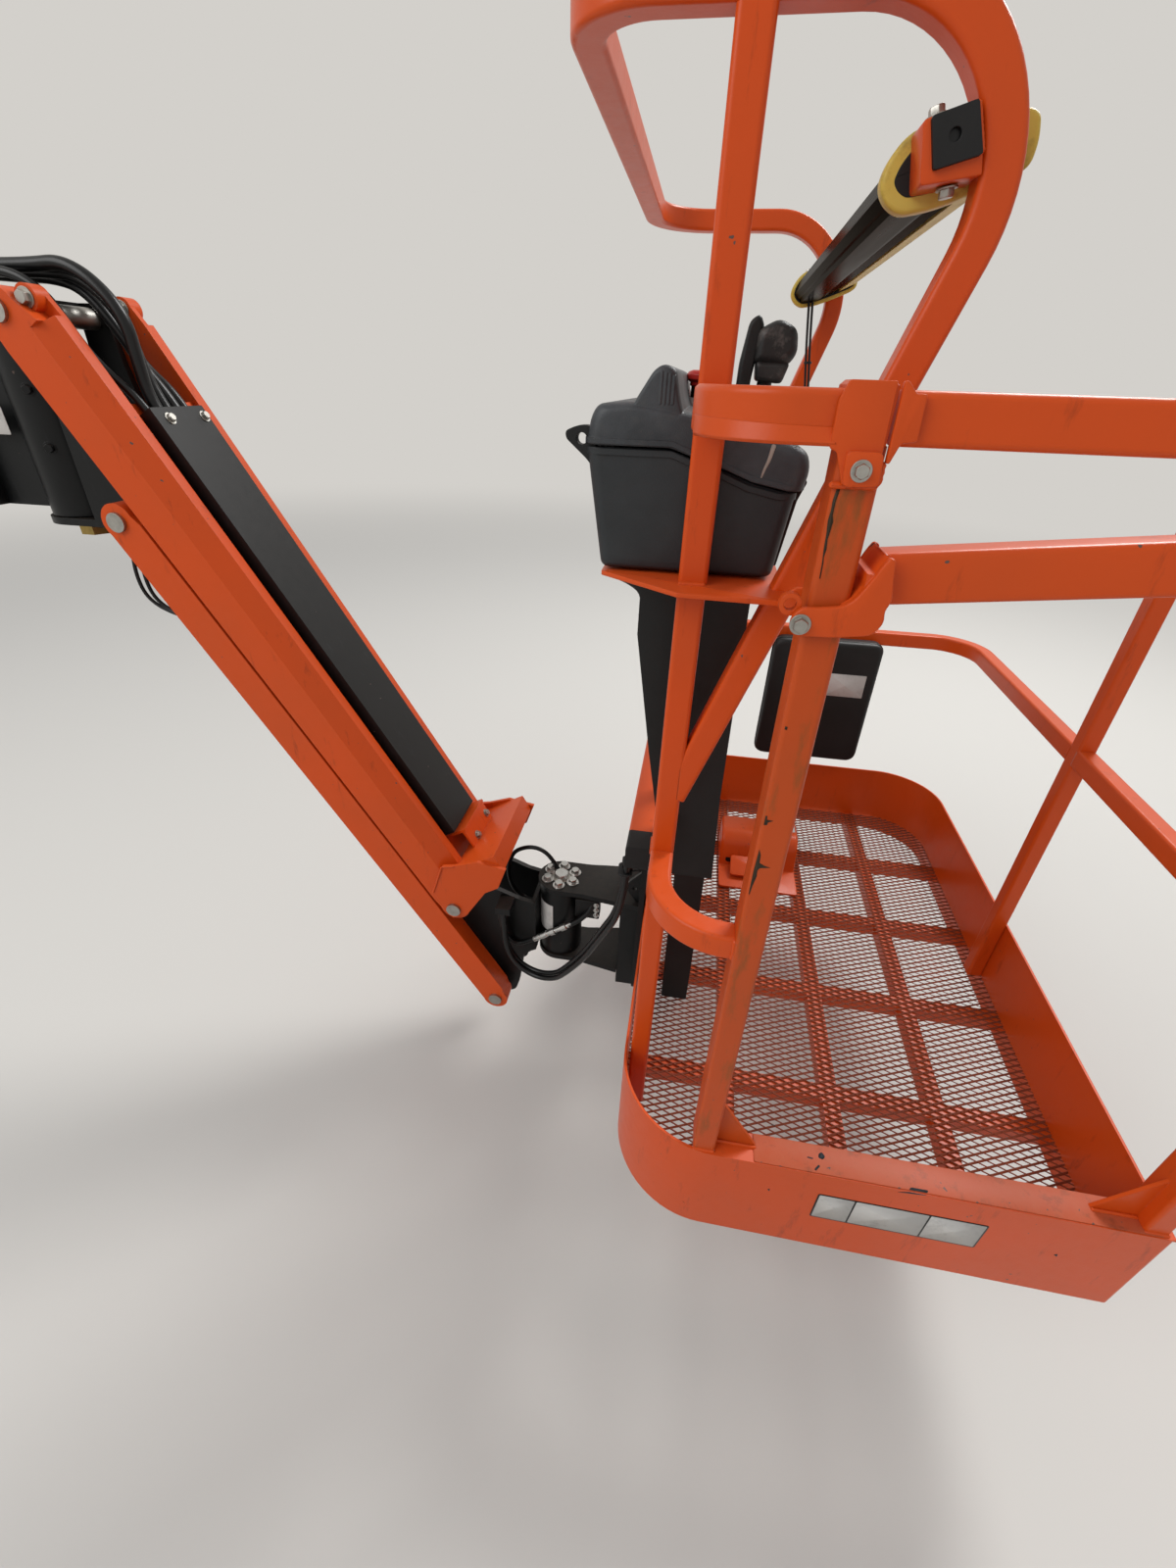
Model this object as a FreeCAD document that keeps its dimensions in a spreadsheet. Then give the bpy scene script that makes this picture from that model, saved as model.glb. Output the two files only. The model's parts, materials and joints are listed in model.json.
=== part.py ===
"""Work platform and jib of an articulating boom lift, with the head on the boom's end.

The origin is the centre of the bore for the boom's pin. X runs from the boom out to the
platform, Y across the jib towards the platform's far end, Z up. The jib hangs at its low
stop, as the machine is left for people to step in. Sizes are in millimetres.
"""
import FreeCAD
import Part
import math
import os

from FreeCAD import Placement, Rotation, Vector

os.makedirs("parts", exist_ok=True)
doc = FreeCAD.newDocument("work_platform")
sheet = doc.addObject("Spreadsheet::Sheet", "dims")

# Driving dimensions: alias, millimetres or degrees, what it is
DIMENSIONS = [
    ("platform_wide", 760, "platform across, along X"),
    ("platform_long", 1210, "platform from entry to far end, along Y"),
    ("platform_left", 1400, "from the boom pin to the platform's jib side"),
    ("floor_z", -1165, "top of the floor mesh"),
    ("rail_height", 1100, "top rail above the floor"),
    ("mid_height", 572, "top of the mid rail above the floor"),
    ("tube_wide", 30, "width of the rail tube"),
    ("tube_tall", 34, "height of the rail tube"),
    ("tube_round", 5, "corner radius of the rail tube"),
    ("board_top", 152, "top of the kick board above the floor"),
    ("board_bottom", 48, "bottom of the kick board below the floor"),
    ("board_thick", 4, "kick board sheet"),
    ("board_corner", 150, "radius of the platform's rounded corners"),
    ("sill_flange", 42, "width of the flange on top of the entry sill"),
    ("jib_length", 1240, "between the jib's two main pins"),
    ("jib_drop", 60.4, "angle of the jib below level, at its low stop"),
    ("jib_pin_x", 364, "jib's upper pin from the boom pin"),
    ("link_dx", 79, "link pin from the jib pin, along X"),
    ("link_dz", -292, "link pin from the jib pin, along Z"),
    ("arm_wide", 42, "width of one jib arm"),
    ("arm_inner", 78, "from the middle plane to an arm's inner face"),
    ("arm_above", 62, "arm's depth above the pin line"),
    ("arm_below", 35, "arm's depth below the pin line"),
    ("link_above", 35, "levelling link's depth above its pin line"),
    ("link_below", 28.5, "levelling link's depth below its pin line"),
    ("pin_radius", 16, "jib and link pins"),
    ("pin_gap", 0.05, "running clearance of a pin"),
    ("swing_x", 275, "axis on which the jib swings sideways"),
    ("swing_radius", 58, "housing of the swing actuator"),
    ("swing_top", 8, "top of the swing housing"),
    ("swing_bottom", -302, "bottom of the swing housing"),
    ("shaft_radius", 24, "shafts of both rotary actuators"),
    ("plate_thick", 12, "thick steel plate"),
    ("turn_x", 1197, "axis on which the platform turns"),
    ("turn_radius", 50, "housing of the platform's rotary actuator"),
    ("turn_top", -1064, "top of that housing"),
    ("turn_bottom", -1256, "bottom of that housing"),
    ("boom_pin_radius", 22, "bore for the boom pin"),
    ("level_pin_radius", 16, "bore for the level cylinder's pin"),
    ("level_pin_dz", -215, "level cylinder's pin below the boom pin"),
    ("head_half", 50, "from the middle plane to the middle of a boom-end cheek"),
    ("post_wide", 32, "gate post across"),
    ("post_deep", 44, "gate post front to back"),
    ("post_in", 118, "gate post's outer face from the platform's side"),
    ("hoop_top", 1344, "middle of the console hoop above the floor"),
    ("hoop_out", 108, "hoop's middle line outside the platform's jib side"),
    ("hoop_near", 172, "hoop's near frame from the entry"),
    ("hoop_far", 980, "hoop's far frame from the entry"),
    ("hoop_lean", 0.339, "slope of the hoop's legs, across per height"),
    ("bar_height", 985, "middle of the sliding gate bar above the floor"),
    ("bar_tall", 40, "height of the gate bar's tube"),
    ("bar_tilt", 6, "slant of the raised gate bar"),
]
for row, (alias, value, note) in enumerate(DIMENSIONS, start=1):
    sheet.set(f"A{row}", note)
    sheet.set(f"B{row}", str(value))
    sheet.setAlias(f"B{row}", alias)
doc.recompute()


def size(alias):
    """A driving dimension, read back from the sheet."""
    return float(sheet.get(alias))


LEFT = size("platform_left")
WIDE = size("platform_wide")
LONG = size("platform_long")
RIGHT = LEFT + WIDE
NEAR = -LONG / 2
FAR = LONG / 2
FLOOR = size("floor_z")
DROP = math.radians(size("jib_drop"))
ALONG = Vector(math.cos(DROP), 0, -math.sin(DROP))
ABOVE = Vector(math.sin(DROP), 0, math.cos(DROP))
UPPER_PIN = Vector(size("jib_pin_x"), 0, 0)
LOWER_PIN = UPPER_PIN + ALONG * size("jib_length")
LINK_STEP = Vector(size("link_dx"), 0, size("link_dz"))
LINK_UPPER = UPPER_PIN + LINK_STEP
LINK_LOWER = LOWER_PIN + LINK_STEP
TURN_X = size("turn_x")
SWING_X = size("swing_x")
PLATE = size("plate_thick")
PIN = size("pin_radius")
GAP = size("pin_gap")
ARM_INNER = size("arm_inner")
ARM_OUTER = ARM_INNER + size("arm_wide")
ACROSS = Vector(0, 1, 0)
UP = Vector(0, 0, 1)

NODES = []
SHAPES = {}


def node(item, label):
    """Marks an object as one sub-part, under the name its file gets."""
    item.Label = label
    NODES.append(item)
    return item


def at(x, y, z):
    """A place on the platform: from its jib side, from its entry and above its floor."""
    return Vector(LEFT + x, NEAR + y, FLOOR + z)


def on_jib(along, above, across=0.0):
    """A place on the jib: along the pin line, above it and across."""
    return UPPER_PIN + ALONG * along + ABOVE * above + Vector(0, across, 0)


def block(name, sizes, corner):
    """A box whose three sizes are expressions over the sheet."""
    box = doc.addObject("Part::Box", name)
    for side, formula in zip(("Length", "Width", "Height"), sizes):
        box.setExpression(side, str(formula))
    box.Placement = Placement(corner, Rotation())
    return box


def rod(name, radius, length, start, direction):
    """A cylinder from a start point along a direction; sizes are expressions."""
    cylinder = doc.addObject("Part::Cylinder", name)
    cylinder.setExpression("Radius", str(radius))
    cylinder.setExpression("Height", str(length))
    cylinder.Placement = Placement(start, Rotation(UP, direction))
    return cylinder


def join(name, pieces):
    """One welded piece out of several."""
    fused = doc.addObject("Part::MultiFuse", name)
    fused.Shapes = pieces
    fused.Refine = True
    return fused


def cut(name, base, tool):
    """A piece with a tool's shape taken out."""
    result = doc.addObject("Part::Cut", name)
    result.Base = base
    result.Tool = tool
    return result


def outline(corners):
    """Lines and arcs through corners (x, y, radius), as flat geometry for a closed loop."""
    count = len(corners)
    stations = []
    for index, (x, y, radius) in enumerate(corners):
        here = Vector(x, y, 0)
        before = Vector(*corners[index - 1][:2], 0)
        after = Vector(*corners[(index + 1) % count][:2], 0)
        if radius <= 0:
            stations.append((here, here, None))
            continue
        to_before = (before - here).normalize()
        to_after = (after - here).normalize()
        half = to_before.getAngle(to_after) / 2
        reach = radius / math.tan(half)
        middle = here + (to_before + to_after).normalize() * (radius / math.sin(half))
        crown = middle + (here - middle).normalize() * radius
        stations.append((here + to_before * reach, here + to_after * reach, crown))
    edges = []
    for index, (start, end, crown) in enumerate(stations):
        if crown is not None:
            edges.append(Part.Arc(start, crown, end))
        following = stations[(index + 1) % count][0]
        if (following - end).Length > 1e-6:
            edges.append(Part.LineSegment(end, following))
    return edges


def plate(name, plane, corners, thickness, middle, holes=()):
    """A flat plate: a sketch on one of its body's planes, padded both ways from the middle."""
    body = doc.addObject("PartDesign::Body", name)
    sketch = body.newObject("Sketcher::SketchObject", name + "_outline")
    support = next(f for f in body.Origin.OriginFeatures if f.Role == plane)
    sketch.AttachmentSupport = [(support, "")]
    sketch.MapMode = "FlatFace"
    for edge in outline(corners):
        sketch.addGeometry(edge.toShape().Curve.trim(edge.FirstParameter, edge.LastParameter)
                           if isinstance(edge, Part.Arc) else edge, False)
    for x, y, radius in holes:
        sketch.addGeometry(Part.Circle(Vector(x, y, 0), UP, radius), False)
    pad = body.newObject("PartDesign::Pad", name + "_pad")
    pad.Profile = sketch
    pad.setExpression("Length", str(thickness))
    pad.Midplane = True
    body.Tip = pad
    body.Placement = Placement(middle, Rotation())
    return body


def tube_section(start, direction, side, wide, tall):
    """A rounded rectangle face across a direction, its width along the side vector."""
    up = direction.cross(side)
    round_corner = min(size("tube_round"), wide / 2.1, tall / 2.1)
    flat = outline([(x * wide / 2, y * tall / 2, round_corner)
                    for x, y in ((-1, -1), (1, -1), (1, 1), (-1, 1))])
    wire = Part.Wire([edge.toShape() for edge in flat])
    face = Part.Face(wire)
    face.Placement = Placement(start, Rotation(side, up, direction, "ZXY"))
    return face


def bent_tube(points, bends, side, wide, tall):
    """A bent rectangular tube: straight legs extruded, each corner revolved about its bend."""
    points = [Vector(*p) for p in points]
    pieces = []
    place = points[0]
    direction = (points[1] - points[0]).normalize()
    side = Vector(*side).normalize()
    for index in range(1, len(points)):
        corner = points[index]
        last = index == len(points) - 1
        if last:
            reach = 0.0
        else:
            bend = bends[index - 1]
            onward = (points[index + 1] - corner).normalize()
            turn = direction.getAngle(onward)
            reach = bend * math.tan(turn / 2)
        leg = (corner - place).Length - reach
        face = tube_section(place, direction, side, wide, tall)
        if leg > 1e-6:
            pieces.append(face.extrude(direction * leg))
        place = place + direction * leg
        if last:
            break
        face = tube_section(place, direction, side, wide, tall)
        axis = direction.cross(onward).normalize()
        centre = place + axis.cross(direction) * bend
        pieces.append(face.revolve(centre, axis, math.degrees(turn)))
        spin = Rotation(axis, math.degrees(turn))
        side = spin.multVec(side)
        place = centre + spin.multVec(place - centre)
        direction = onward
    shape = pieces[0]
    if len(pieces) > 1:
        shape = pieces[0].multiFuse(pieces[1:])
    return shape.removeSplitter()


def round_hose(points, radius):
    """A hose: straight runs joined by tangent arcs, as large as their runs allow."""
    pieces = []
    place = points[0]
    radii = []
    length = 0.0
    direction = (points[1] - points[0]).normalize()
    for index in range(1, len(points)):
        corner = points[index]
        face = Part.Face(Part.Wire([Part.Circle(place, direction, radius).toShape()]))
        if index == len(points) - 1:
            pieces.append(face.extrude(corner - place))
            length += (corner - place).Length
            break
        after = points[index + 1] - corner
        onward = Vector(after).normalize()
        turn = direction.getAngle(onward)
        reach = 0.45 * min((corner - points[index - 1]).Length, after.Length)
        bend = reach / math.tan(turn / 2)
        radii.append(round(bend, 1))
        start = corner - direction * reach
        pieces.append(face.extrude(start - place))
        axis = direction.cross(onward).normalize()
        centre = start + axis.cross(direction) * bend
        face = Part.Face(Part.Wire([Part.Circle(start, direction, radius).toShape()]))
        pieces.append(face.revolve(centre, axis, math.degrees(turn)))
        length += (start - place).Length + bend * turn
        place = corner + onward * reach
        direction = onward
    print("hose radii", radii, "length", round(length, 1))
    return pieces[0].multiFuse(pieces[1:]).removeSplitter()


def hose_bundle(label, points, radius, steps):
    """Like hoses side by side, each the route moved by one step."""
    hoses = [round_hose([Vector(*p) + Vector(*step) for p in points], radius) for step in steps]
    return feature(label, Part.makeCompound(hoses))


def feature(label, shape, fits=()):
    """A sub-part whose shape is worked out here, cut to fit round the ones it meets."""
    for other in fits:
        shape = shape.cut(SHAPES[other])
    if fits:
        shape = shape.removeSplitter()
    SHAPES[label] = shape
    item = doc.addObject("Part::Feature", label)
    item.Shape = shape
    return node(item, label)


def weld(pieces):
    """Several shapes as one, with the seams taken out."""
    return pieces[0].multiFuse(pieces[1:]).removeSplitter()


def prism(points, way):
    """A flat outline of places, pushed along a vector."""
    return Part.Face(Part.makePolygon(points + [points[0]])).extrude(way)


def cylinder_shape(radius, start, end):
    """A plain round bar between two points."""
    return Part.makeCylinder(radius, (end - start).Length, start, end - start)


def hex_head(name, across_flats, height, centre, direction):
    """A hexagonal bolt head or nut standing on a face."""
    head = doc.addObject("Part::Prism", name)
    head.Polygon = 6
    head.Circumradius = across_flats / math.sqrt(3)
    head.Height = height
    head.Placement = Placement(centre, Rotation(UP, direction))
    return head


def bolt_shape(across_flats, height, centre, direction):
    """A hexagonal bolt head as a plain shape."""
    corners = [Vector(math.cos(k * math.pi / 3), math.sin(k * math.pi / 3), 0)
               * (across_flats / math.sqrt(3)) for k in range(6)]
    face = Part.Face(Part.makePolygon(corners + [corners[0]]))
    face.Placement = Placement(centre, Rotation(UP, direction))
    return face.extrude(direction * height)


# Boom-end head: two cheeks on the boom's pins, joined by a web to the swing housing
HEAD_HALF = size("head_half")
LEVEL_PIN_Z = size("level_pin_dz")
CHEEK_END = 140.0
NECK_HALF = 34.0
WEB = 10.0
HEAD_LOW = -290.0
cheek_inside = HEAD_HALF - PLATE / 2
head_corners = [(-58, -268, 45), (-58, 52, 44), (60, 52, 40), (CHEEK_END, 40, 20),
                (CHEEK_END, HEAD_LOW, 0), (112, HEAD_LOW, 24), (60, -268, 40)]
head_holes = [(0, 0, size("boom_pin_radius")), (0, LEVEL_PIN_Z, size("level_pin_radius"))]
head_parts = []
for word, y in (("near", -HEAD_HALF), ("far", HEAD_HALF)):
    head_parts.append(plate(f"boom_cheek_{word}", "XZ_Plane", head_corners, "dims.plate_thick",
                            Vector(0, y, 0), head_holes))
head_parts.append(block("boom_web", (WEB, 2 * cheek_inside, 10 - HEAD_LOW),
                        Vector(CHEEK_END - WEB, -cheek_inside, HEAD_LOW)))
node(join("boom_end_weld", head_parts), "boom_end_bracket")

housing = rod("swing_housing_round", "dims.swing_radius", "dims.swing_top - dims.swing_bottom",
              Vector(SWING_X, 0, size("swing_bottom")), UP)
# The neck stays low enough for the raised jib's lugs to pass over it
NECK_TOP = -10.0
neck = block("swing_neck", (SWING_X - CHEEK_END, 2 * NECK_HALF, NECK_TOP - HEAD_LOW),
             Vector(CHEEK_END, -NECK_HALF, HEAD_LOW))
housing_solid = join("swing_housing_solid", [housing, neck])
housing_bore = rod("swing_housing_bore", "dims.shaft_radius + dims.pin_gap",
                   "dims.swing_top - dims.swing_bottom + 20",
                   Vector(SWING_X, 0, size("swing_bottom") - 10), UP)
node(cut("swing_housing_cut", housing_solid, housing_bore), "swing_housing")

# Hose bulkhead on the boom-end cheeks
BULK_X = 40.0
BULK_TOP = 98.0
bulk = Part.makeBox(PLATE, 2 * HEAD_HALF + PLATE, BULK_TOP - 52,
                    Vector(BULK_X, -HEAD_HALF - PLATE / 2, 52))
feature("hose_bulkhead", bulk)

# Jib base: a yoke above and below the housing, and cheeks that carry the jib and link pins
BASE_HALF = 56.0
YOKE_GAP = 2.0
YOKE_HALF = BASE_HALF + PLATE / 2
yoke_low = size("swing_bottom") - YOKE_GAP - PLATE
yoke_high = size("swing_top") + YOKE_GAP + PLATE
CHEEK_START = SWING_X + size("swing_radius") + 8
TOP_PLATE_END = UPPER_PIN.x - PIN - 1
BOTTOM_PLATE_END = LINK_UPPER.x - 42


def yoke_plate(name, reach, z):
    """One of the two plates that hold the swing shaft."""
    corners = [(SWING_X - YOKE_HALF, -YOKE_HALF, YOKE_HALF - 2), (reach, -YOKE_HALF, 0),
               (reach, YOKE_HALF, 0), (SWING_X - YOKE_HALF, YOKE_HALF, YOKE_HALF - 2)]
    return plate(name, "XY_Plane", corners, "dims.plate_thick", Vector(0, 0, z),
                 [(SWING_X, 0, size("shaft_radius"))])


base_corners = [(CHEEK_START, yoke_low, 0), (CHEEK_START, yoke_high, 0),
                (UPPER_PIN.x + 25, yoke_high, 24), (UPPER_PIN.x + 34, -60, 40),
                (LINK_UPPER.x - 20, -190, 60), (LINK_UPPER.x + 32, LINK_UPPER.z + 32, 31),
                (LINK_UPPER.x + 32, LINK_UPPER.z - 32, 31), (LINK_UPPER.x - 28, yoke_low, 0)]
base_holes = [(UPPER_PIN.x, UPPER_PIN.z, PIN), (LINK_UPPER.x, LINK_UPPER.z, PIN)]
base_parts = [yoke_plate("yoke_top", TOP_PLATE_END, yoke_high - PLATE / 2),
              yoke_plate("yoke_bottom", BOTTOM_PLATE_END, yoke_low + PLATE / 2)]
for word, y in (("near", -BASE_HALF), ("far", BASE_HALF)):
    base_parts.append(plate(f"base_cheek_{word}", "XZ_Plane", base_corners,
                            "dims.plate_thick", Vector(0, y, 0), base_holes))
node(join("jib_base_weld", base_parts), "jib_base_yoke")
node(rod("swing_shaft_round", "dims.shaft_radius",
         "dims.swing_top - dims.swing_bottom + 2 * dims.plate_thick + 4",
         Vector(SWING_X, 0, yoke_low), UP),
     "swing_shaft")
node(hex_head("swing_nut_solid", 46, 24, Vector(SWING_X, 0, yoke_low), -UP), "swing_shaft_nut")


def pin_bar(label, centre, half):
    """A pin through both sides of a joint, standing out by its retaining head."""
    return node(rod(label + "_round", "dims.pin_radius", 2 * half,
                    centre - ACROSS * half, ACROSS), label)


PIN_OUT = 6.0
pin_bar("jib_upper_pin", UPPER_PIN, ARM_OUTER + PIN_OUT)
pin_bar("link_upper_pin", LINK_UPPER, ARM_OUTER + PIN_OUT)

# Jib: two box arms side by side, one above each levelling link
ARM_ABOVE = size("arm_above")
ARM_BELOW = size("arm_below")
BEVEL_LOW = 28.0
BEVEL_IN = 20.0
ARM_START = 40.0
ARM_END = 1206.0
UPPER_BOSS = 31.0
LOWER_BOSS = 34.0
LUG_ALONG = 5.0
LUG_ABOVE = 42.0
LUG_RADIUS = 18.0
LUG_THICK = 10.0
LUG_BOSS_WIDE = 26.0


def arm_shape(side):
    """One arm: a box tube with a bevelled outer top edge, round at both pins."""
    inner = side * ARM_INNER
    outer = side * ARM_OUTER
    low_y = min(inner, outer)
    across = ACROSS * size("arm_wide")
    profile = [(inner, -ARM_BELOW), (outer, -ARM_BELOW), (outer, BEVEL_LOW),
               (outer - side * BEVEL_IN, ARM_ABOVE), (inner, ARM_ABOVE)]
    tube = prism([on_jib(ARM_START, above, y) for y, above in profile],
                 ALONG * (ARM_END - ARM_START))
    neck = prism([on_jib(ARM_END, -ARM_BELOW, low_y), on_jib(ARM_END, ARM_ABOVE, low_y),
                  on_jib(size("jib_length") + 12, LOWER_BOSS - 3, low_y),
                  on_jib(size("jib_length") + 12, 4 - LOWER_BOSS, low_y)], across)
    bosses = [Part.makeCylinder(radius, size("arm_wide"), pin + ACROSS * low_y, ACROSS)
              for pin, radius in ((UPPER_PIN, UPPER_BOSS), (LOWER_PIN, LOWER_BOSS))]
    crown = prism([on_jib(0, -UPPER_BOSS, low_y), on_jib(0, UPPER_BOSS, low_y),
                   on_jib(ARM_START, 46, low_y), on_jib(ARM_START, -ARM_BELOW, low_y)], across)
    lug_y = min(inner, inner + side * LUG_THICK)
    lug = prism([on_jib(-LUG_RADIUS, 0, lug_y), on_jib(LUG_ALONG - LUG_RADIUS, LUG_ABOVE, lug_y),
                 on_jib(LUG_ALONG + 4, LUG_ABOVE + LUG_RADIUS - 1, lug_y),
                 on_jib(ARM_START, ARM_ABOVE, lug_y), on_jib(ARM_START, 0, lug_y)],
                ACROSS * LUG_THICK)
    boss_y = min(inner, inner + side * LUG_BOSS_WIDE)
    lug_boss = Part.makeCylinder(LUG_RADIUS, LUG_BOSS_WIDE, on_jib(LUG_ALONG, LUG_ABOVE, boss_y), ACROSS)
    whole = weld([tube, neck, crown, lug, lug_boss] + bosses)
    reach = ACROSS * 200
    for pin, radius in ((UPPER_PIN, PIN + GAP), (LOWER_PIN, PIN)):
        whole = whole.cut(cylinder_shape(radius, pin - reach, pin + reach))
    return whole.removeSplitter()


feature("near_arm", arm_shape(-1))
feature("far_arm", arm_shape(1))


def jib_box(along, above, across, length, depth, width):
    """A box in the jib's own directions from its start along, its underside and its near side."""
    box = Part.makeBox(length, width, depth)
    box.Placement = Placement(on_jib(along, above, across), Rotation(ACROSS, math.degrees(DROP)))
    return box


feature("arm_cross_plate", jib_box(165, 46, -ARM_INNER, 65, 6, 2 * ARM_INNER))
COVER_START = 184.0
COVER_LONG = 906.0
COVER_NEAR = -66.0
COVER_WIDE = 126.0
COVER_TOP = 78.0
COVER_DEEP = 30.0
SHEET = 4.0
cover = [jib_box(COVER_START, COVER_TOP - SHEET, COVER_NEAR, COVER_LONG, SHEET, COVER_WIDE)]
for y in (COVER_NEAR, COVER_NEAR + COVER_WIDE - SHEET):
    cover.append(jib_box(COVER_START, COVER_TOP - COVER_DEEP, y, COVER_LONG, COVER_DEEP, SHEET))
feature("hose_cover", weld(cover), ("arm_cross_plate",))

END_PLATE = 8.0
end_outline = [(1182, -18), (1128, 44), (1137, 73), (1146, 126), (1186, 175), (1223, 132),
               (1225, 96), (1265, 20), (1262, -18)]
end_parts = [
    jib_box(1150, 130, -ARM_OUTER, 42, 34, 2 * ARM_OUTER),
    jib_box(1150, ARM_ABOVE, -ARM_OUTER, 6, 72, 2 * ARM_OUTER),
    jib_box(1105, 83, -50, 48, 5, 125),
    jib_box(1106, 40, -ARM_INNER, 94, 5, 2 * ARM_INNER),
    jib_box(1100, 20, -50, 6, 72, 125),
]
for side in (-1, 1):
    start_y = min(side * ARM_OUTER, side * (ARM_OUTER + END_PLATE))
    end_parts.append(prism([on_jib(along, above, start_y) for along, above in end_outline],
                           ACROSS * END_PLATE))
end_bracket = weld(end_parts)
reach_y = ACROSS * 200
end_bracket = end_bracket.cut(cylinder_shape(PIN, LOWER_PIN - reach_y, LOWER_PIN + reach_y))
feature("jib_end_bracket", end_bracket.removeSplitter())
EYE_HALF = 24.0
PIN_START = EYE_HALF + 8
lower_pins = []
for side in (-1, 1):
    lower_pins.append(cylinder_shape(PIN, LOWER_PIN + ACROSS * (side * PIN_START),
                                     LOWER_PIN + ACROSS * (side * (ARM_OUTER + END_PLATE + 6))))
feature("jib_lower_pins", Part.makeCompound(lower_pins))

# Levelling links under the arms
LINK_BOSS = 30.0


def link_shape(side):
    """One link: a box bar with round ends on its two pins."""
    low_y = min(side * ARM_INNER, side * ARM_OUTER)
    wide = size("arm_wide")
    top = ABOVE * size("link_above")
    bottom = ABOVE * -size("link_below")
    taper = ALONG * 24
    first = LINK_UPPER + ACROSS * low_y
    last = LINK_LOWER + ACROSS * low_y
    bar = prism([first + bottom, first + bottom * -1, first + taper + top, last - taper + top,
                 last + bottom * -1, last + bottom], ACROSS * wide)
    ends = [Part.makeCylinder(LINK_BOSS, wide, place, ACROSS) for place in (first, last)]
    whole = weld([bar] + ends)
    reach = ACROSS * 200
    for pin, radius in ((LINK_UPPER, PIN + GAP), (LINK_LOWER, PIN)):
        whole = whole.cut(cylinder_shape(radius, pin - reach, pin + reach))
    return whole.removeSplitter()


feature("near_link", link_shape(-1))
feature("far_link", link_shape(1))
pin_bar("link_lower_pin", LINK_LOWER, ARM_OUTER + PIN_OUT)

# Lift cylinder between the arms, from the link's upper pin to the jib's lower pin
CYLINDER_SPAN = (LOWER_PIN - LINK_UPPER).Length
CYLINDER_WAY = (LOWER_PIN - LINK_UPPER).normalize()
BARREL_RADIUS = 30.0
BARREL_LONG = 790.0
ROD_RADIUS = 15.0
EYE_RADIUS = 28.0
OPEN_PIN_ROOM = 0.5
eye_start = ACROSS * -EYE_HALF
barrel = weld([
    Part.makeCylinder(BARREL_RADIUS, BARREL_LONG - 40, LINK_UPPER + CYLINDER_WAY * 40, CYLINDER_WAY),
    Part.makeCylinder(BARREL_RADIUS + 4, 26, LINK_UPPER + CYLINDER_WAY * (BARREL_LONG - 26),
                      CYLINDER_WAY),
    Part.makeCylinder(34, 2 * EYE_HALF, LINK_UPPER + eye_start, ACROSS),
    Part.makeCylinder(22, 42, LINK_UPPER, CYLINDER_WAY),
])
barrel = barrel.cut(Part.makeCylinder(PIN + GAP, 200, LINK_UPPER - ACROSS * 100, ACROSS))
barrel = barrel.cut(Part.makeCylinder(ROD_RADIUS + GAP, BARREL_LONG,
                                      LINK_UPPER + CYLINDER_WAY * 120, CYLINDER_WAY))
feature("lift_barrel", barrel.removeSplitter())
ROD_INSIDE = 140.0
piston_rod = weld([
    Part.makeCylinder(ROD_RADIUS, CYLINDER_SPAN - ROD_INSIDE,
                      LINK_UPPER + CYLINDER_WAY * ROD_INSIDE, CYLINDER_WAY),
    Part.makeCylinder(EYE_RADIUS, 2 * EYE_HALF, LOWER_PIN + eye_start, ACROSS),
])
piston_rod = piston_rod.cut(Part.makeCylinder(PIN + OPEN_PIN_ROOM, 200, LOWER_PIN - ACROSS * 100,
                                              ACROSS))
feature("lift_rod", piston_rod.removeSplitter())

# Levelling head: cheeks between the arms, carrying the platform's rotary actuator
HEAD_INNER = size("turn_radius")
cheek_corners = [(LOWER_PIN.x - 36, LOWER_PIN.z + 36, 34), (1047, -1060, 10), (1107, -1084, 10),
                 (1147, -1092, 0), (1147, -1240, 0), (1135, -1247, 0), (1116, -1265, 12),
                 (1102, -1360, 20), (LINK_LOWER.x + 34, LINK_LOWER.z - 32, 24),
                 (LINK_LOWER.x - 30, LINK_LOWER.z - 32, 28), (LOWER_PIN.x - 36, LOWER_PIN.z - 36, 34)]
cheek_holes = [(LOWER_PIN.x, LOWER_PIN.z, PIN + GAP), (LINK_LOWER.x, LINK_LOWER.z, PIN + GAP)]
head_plates = []
for word, side in (("near", -1), ("far", 1)):
    head_plates.append(plate(f"level_cheek_{word}", "XZ_Plane", cheek_corners,
                             "dims.plate_thick", Vector(0, side * (HEAD_INNER + PLATE / 2), 0),
                             cheek_holes))
head_plates.append(block("level_web", (WEB, 2 * HEAD_INNER, 148),
                         Vector(TURN_X - HEAD_INNER - WEB, -HEAD_INNER, -1240)))
CLAMP_X = 1066.0
CLAMP_LOW = -1096.0
HOSE_CLAMP_OUT = 108.0
clamp_in = HEAD_INNER + PLATE
head_plates.append(block("loop_clamp", (34, HOSE_CLAMP_OUT - clamp_in, 18),
                         Vector(CLAMP_X, -HOSE_CLAMP_OUT, CLAMP_LOW)))
node(join("level_head_weld", head_plates), "level_head")
turner = rod("turn_housing_round", "dims.turn_radius", "dims.turn_top - dims.turn_bottom",
             Vector(TURN_X, 0, size("turn_bottom")), UP)
turner_bore = rod("turn_housing_bore", "dims.shaft_radius + dims.pin_gap", 240,
                  Vector(TURN_X, 0, size("turn_bottom") - 20), UP)
node(cut("turn_housing_cut", turner, turner_bore), "rotator_housing")

# Platform support: arms above and below the rotator, a box, an upright plate and a cross tube
support_x = LEFT - PLATE / 2 - 2
plate_face = support_x - PLATE / 2
BOX_X = 1345.0
ARM_HALF = 54.0
top_arm_low = size("turn_top") + YOKE_GAP
bottom_arm_top = size("turn_bottom") - YOKE_GAP


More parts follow.
